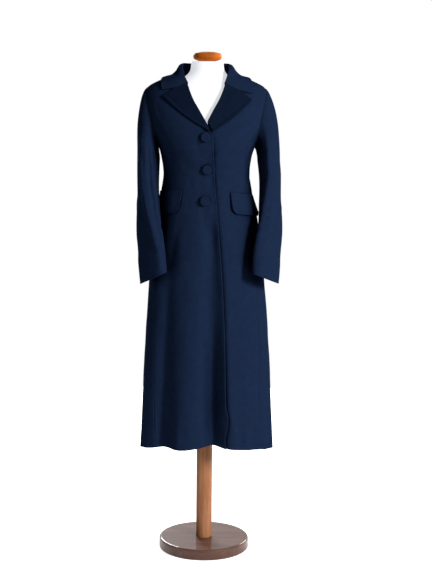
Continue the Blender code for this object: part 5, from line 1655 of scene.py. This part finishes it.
# --------------------------------------------------------------------- stage
def make_stage():
    me = bpy.data.meshes.new("floor")
    ang = np.linspace(0, 2 * np.pi, 96, endpoint=False)
    me.from_pydata([(2.4 * math.cos(k), 2.4 * math.sin(k), 0) for k in ang], [], [tuple(range(96))])
    ob = bpy.data.objects.new("floor", me)
    bpy.context.scene.collection.objects.link(ob)
    m, t, b = nodes_of("pale_floor")
    b.inputs["Base Color"].default_value = (0.94, 0.94, 0.94, 1)
    b.inputs["Roughness"].default_value = 0.9
    b.inputs["Specular IOR Level"].default_value = 0.1
    c = t.nodes.new("ShaderNodeTexCoord").outputs["Object"]
    far = t.nodes.new("ShaderNodeVectorMath")
    far.operation = "LENGTH"
    t.links.new(c, far.inputs[0])
    fade = t.nodes.new("ShaderNodeMapRange")
    fade.inputs["From Min"].default_value = 0.16
    fade.inputs["From Max"].default_value = 0.42
    fade.inputs["To Min"].default_value = 0.78
    fade.inputs["To Max"].default_value = 1.0
    t.links.new(far.outputs["Value"], fade.inputs["Value"])
    path = t.nodes.new("ShaderNodeLightPath")
    seen = t.nodes.new("ShaderNodeMath")
    seen.operation = "MAXIMUM"
    t.links.new(path.outputs["Is Camera Ray"], seen.inputs[0])
    t.links.new(path.outputs["Is Glossy Ray"], seen.inputs[1])
    glow = t.nodes.new("ShaderNodeMath")
    glow.operation = "MULTIPLY"
    t.links.new(seen.outputs[0], glow.inputs[0])
    t.links.new(fade.outputs["Result"], glow.inputs[1])
    t.links.new(glow.outputs[0], b.inputs["Emission Strength"])
    b.inputs["Emission Color"].default_value = (1, 1, 1, 1)
    me.materials.append(m)
    w = bpy.data.worlds.new("studio")
    bpy.context.scene.world = w
    w.use_nodes = True
    t = w.node_tree
    bg = t.nodes["Background"]
    bg.inputs["Color"].default_value = (1, 1, 1, 1)
    bg.inputs["Strength"].default_value = 1.0
    low = t.nodes.new("ShaderNodeBackground")
    low.inputs["Color"].default_value = (0.96, 0.98, 1.0, 1)
    low.inputs["Strength"].default_value = WORLD
    path = t.nodes.new("ShaderNodeLightPath")
    mixer = t.nodes.new("ShaderNodeMixShader")
    seen = t.nodes.new("ShaderNodeMath")
    seen.operation = "MAXIMUM"
    t.links.new(path.outputs["Is Camera Ray"], seen.inputs[0])
    t.links.new(path.outputs["Is Glossy Ray"], seen.inputs[1])
    t.links.new(seen.outputs[0], mixer.inputs["Fac"])
    t.links.new(low.outputs["Background"], mixer.inputs[1])
    t.links.new(bg.outputs["Background"], mixer.inputs[2])
    t.links.new(mixer.outputs["Shader"], t.nodes["World Output"].inputs["Surface"])


WORLD = 0.05
LIGHTS = table(
    "x y z aim_x aim_y aim_z width height power",
    (3.3, -3.0, 2.7, 0.0, 0.0, 1.00, 0.8, 1.3, 278.0),
    (-3.2, -2.4, 1.7, 0.0, 0.0, 1.00, 1.0, 1.8, 12.0),
    (0.9, -4.6, 3.0, 0.0, 0.0, 1.05, 1.4, 1.0, 16.0),
    (-1.5, 4.3, 2.6, 0.0, 0.0, 1.00, 1.6, 1.6, 190.0),
    (2.6, 3.6, 2.3, 0.0, 0.0, 1.00, 1.2, 1.6, 90.0),
)


def make_lights():
    for i in range(len(LIGHTS["x"])):
        l = {n: LIGHTS[n][i] for n in LIGHTS}
        d = bpy.data.lights.new(f"soft_{i}", "AREA")
        d.shape = "RECTANGLE"
        d.size, d.size_y = float(l["width"]), float(l["height"])
        d.energy = float(l["power"])
        ob = bpy.data.objects.new(f"soft_{i}", d)
        ob.location = (l["x"], l["y"], l["z"])
        aim = Vector((l["aim_x"], l["aim_y"], l["aim_z"])) - ob.location
        ob.rotation_euler = aim.to_track_quat("-Z", "Y").to_euler()
        bpy.context.scene.collection.objects.link(ob)


def make_camera():
    distance, height, pitch, yaw, roll, focal = 4.692, 1.6635, 0.16394, 0.00737, 0.00908, 87.47
    f = Vector((math.sin(yaw) * math.cos(pitch), math.cos(yaw) * math.cos(pitch), -math.sin(pitch)))
    r = Vector((math.cos(yaw), -math.sin(yaw), 0))
    u = r.cross(f)
    c, s = math.cos(roll), math.sin(roll)
    r2, u2 = r * c + u * s, u * c - r * s
    m = Matrix((r2, u2, -f)).transposed().to_4x4()
    m.translation = Vector((0, -distance, height))
    cam = bpy.data.cameras.new("camera")
    cam.sensor_fit = "VERTICAL"
    cam.sensor_height = 36
    cam.lens = focal
    ob = bpy.data.objects.new("camera", cam)
    ob.matrix_world = m
    bpy.context.scene.collection.objects.link(ob)
    bpy.context.scene.camera = ob


make_stage()
make_lights()
make_camera()
bpy.context.scene.view_settings.view_transform = "Standard"
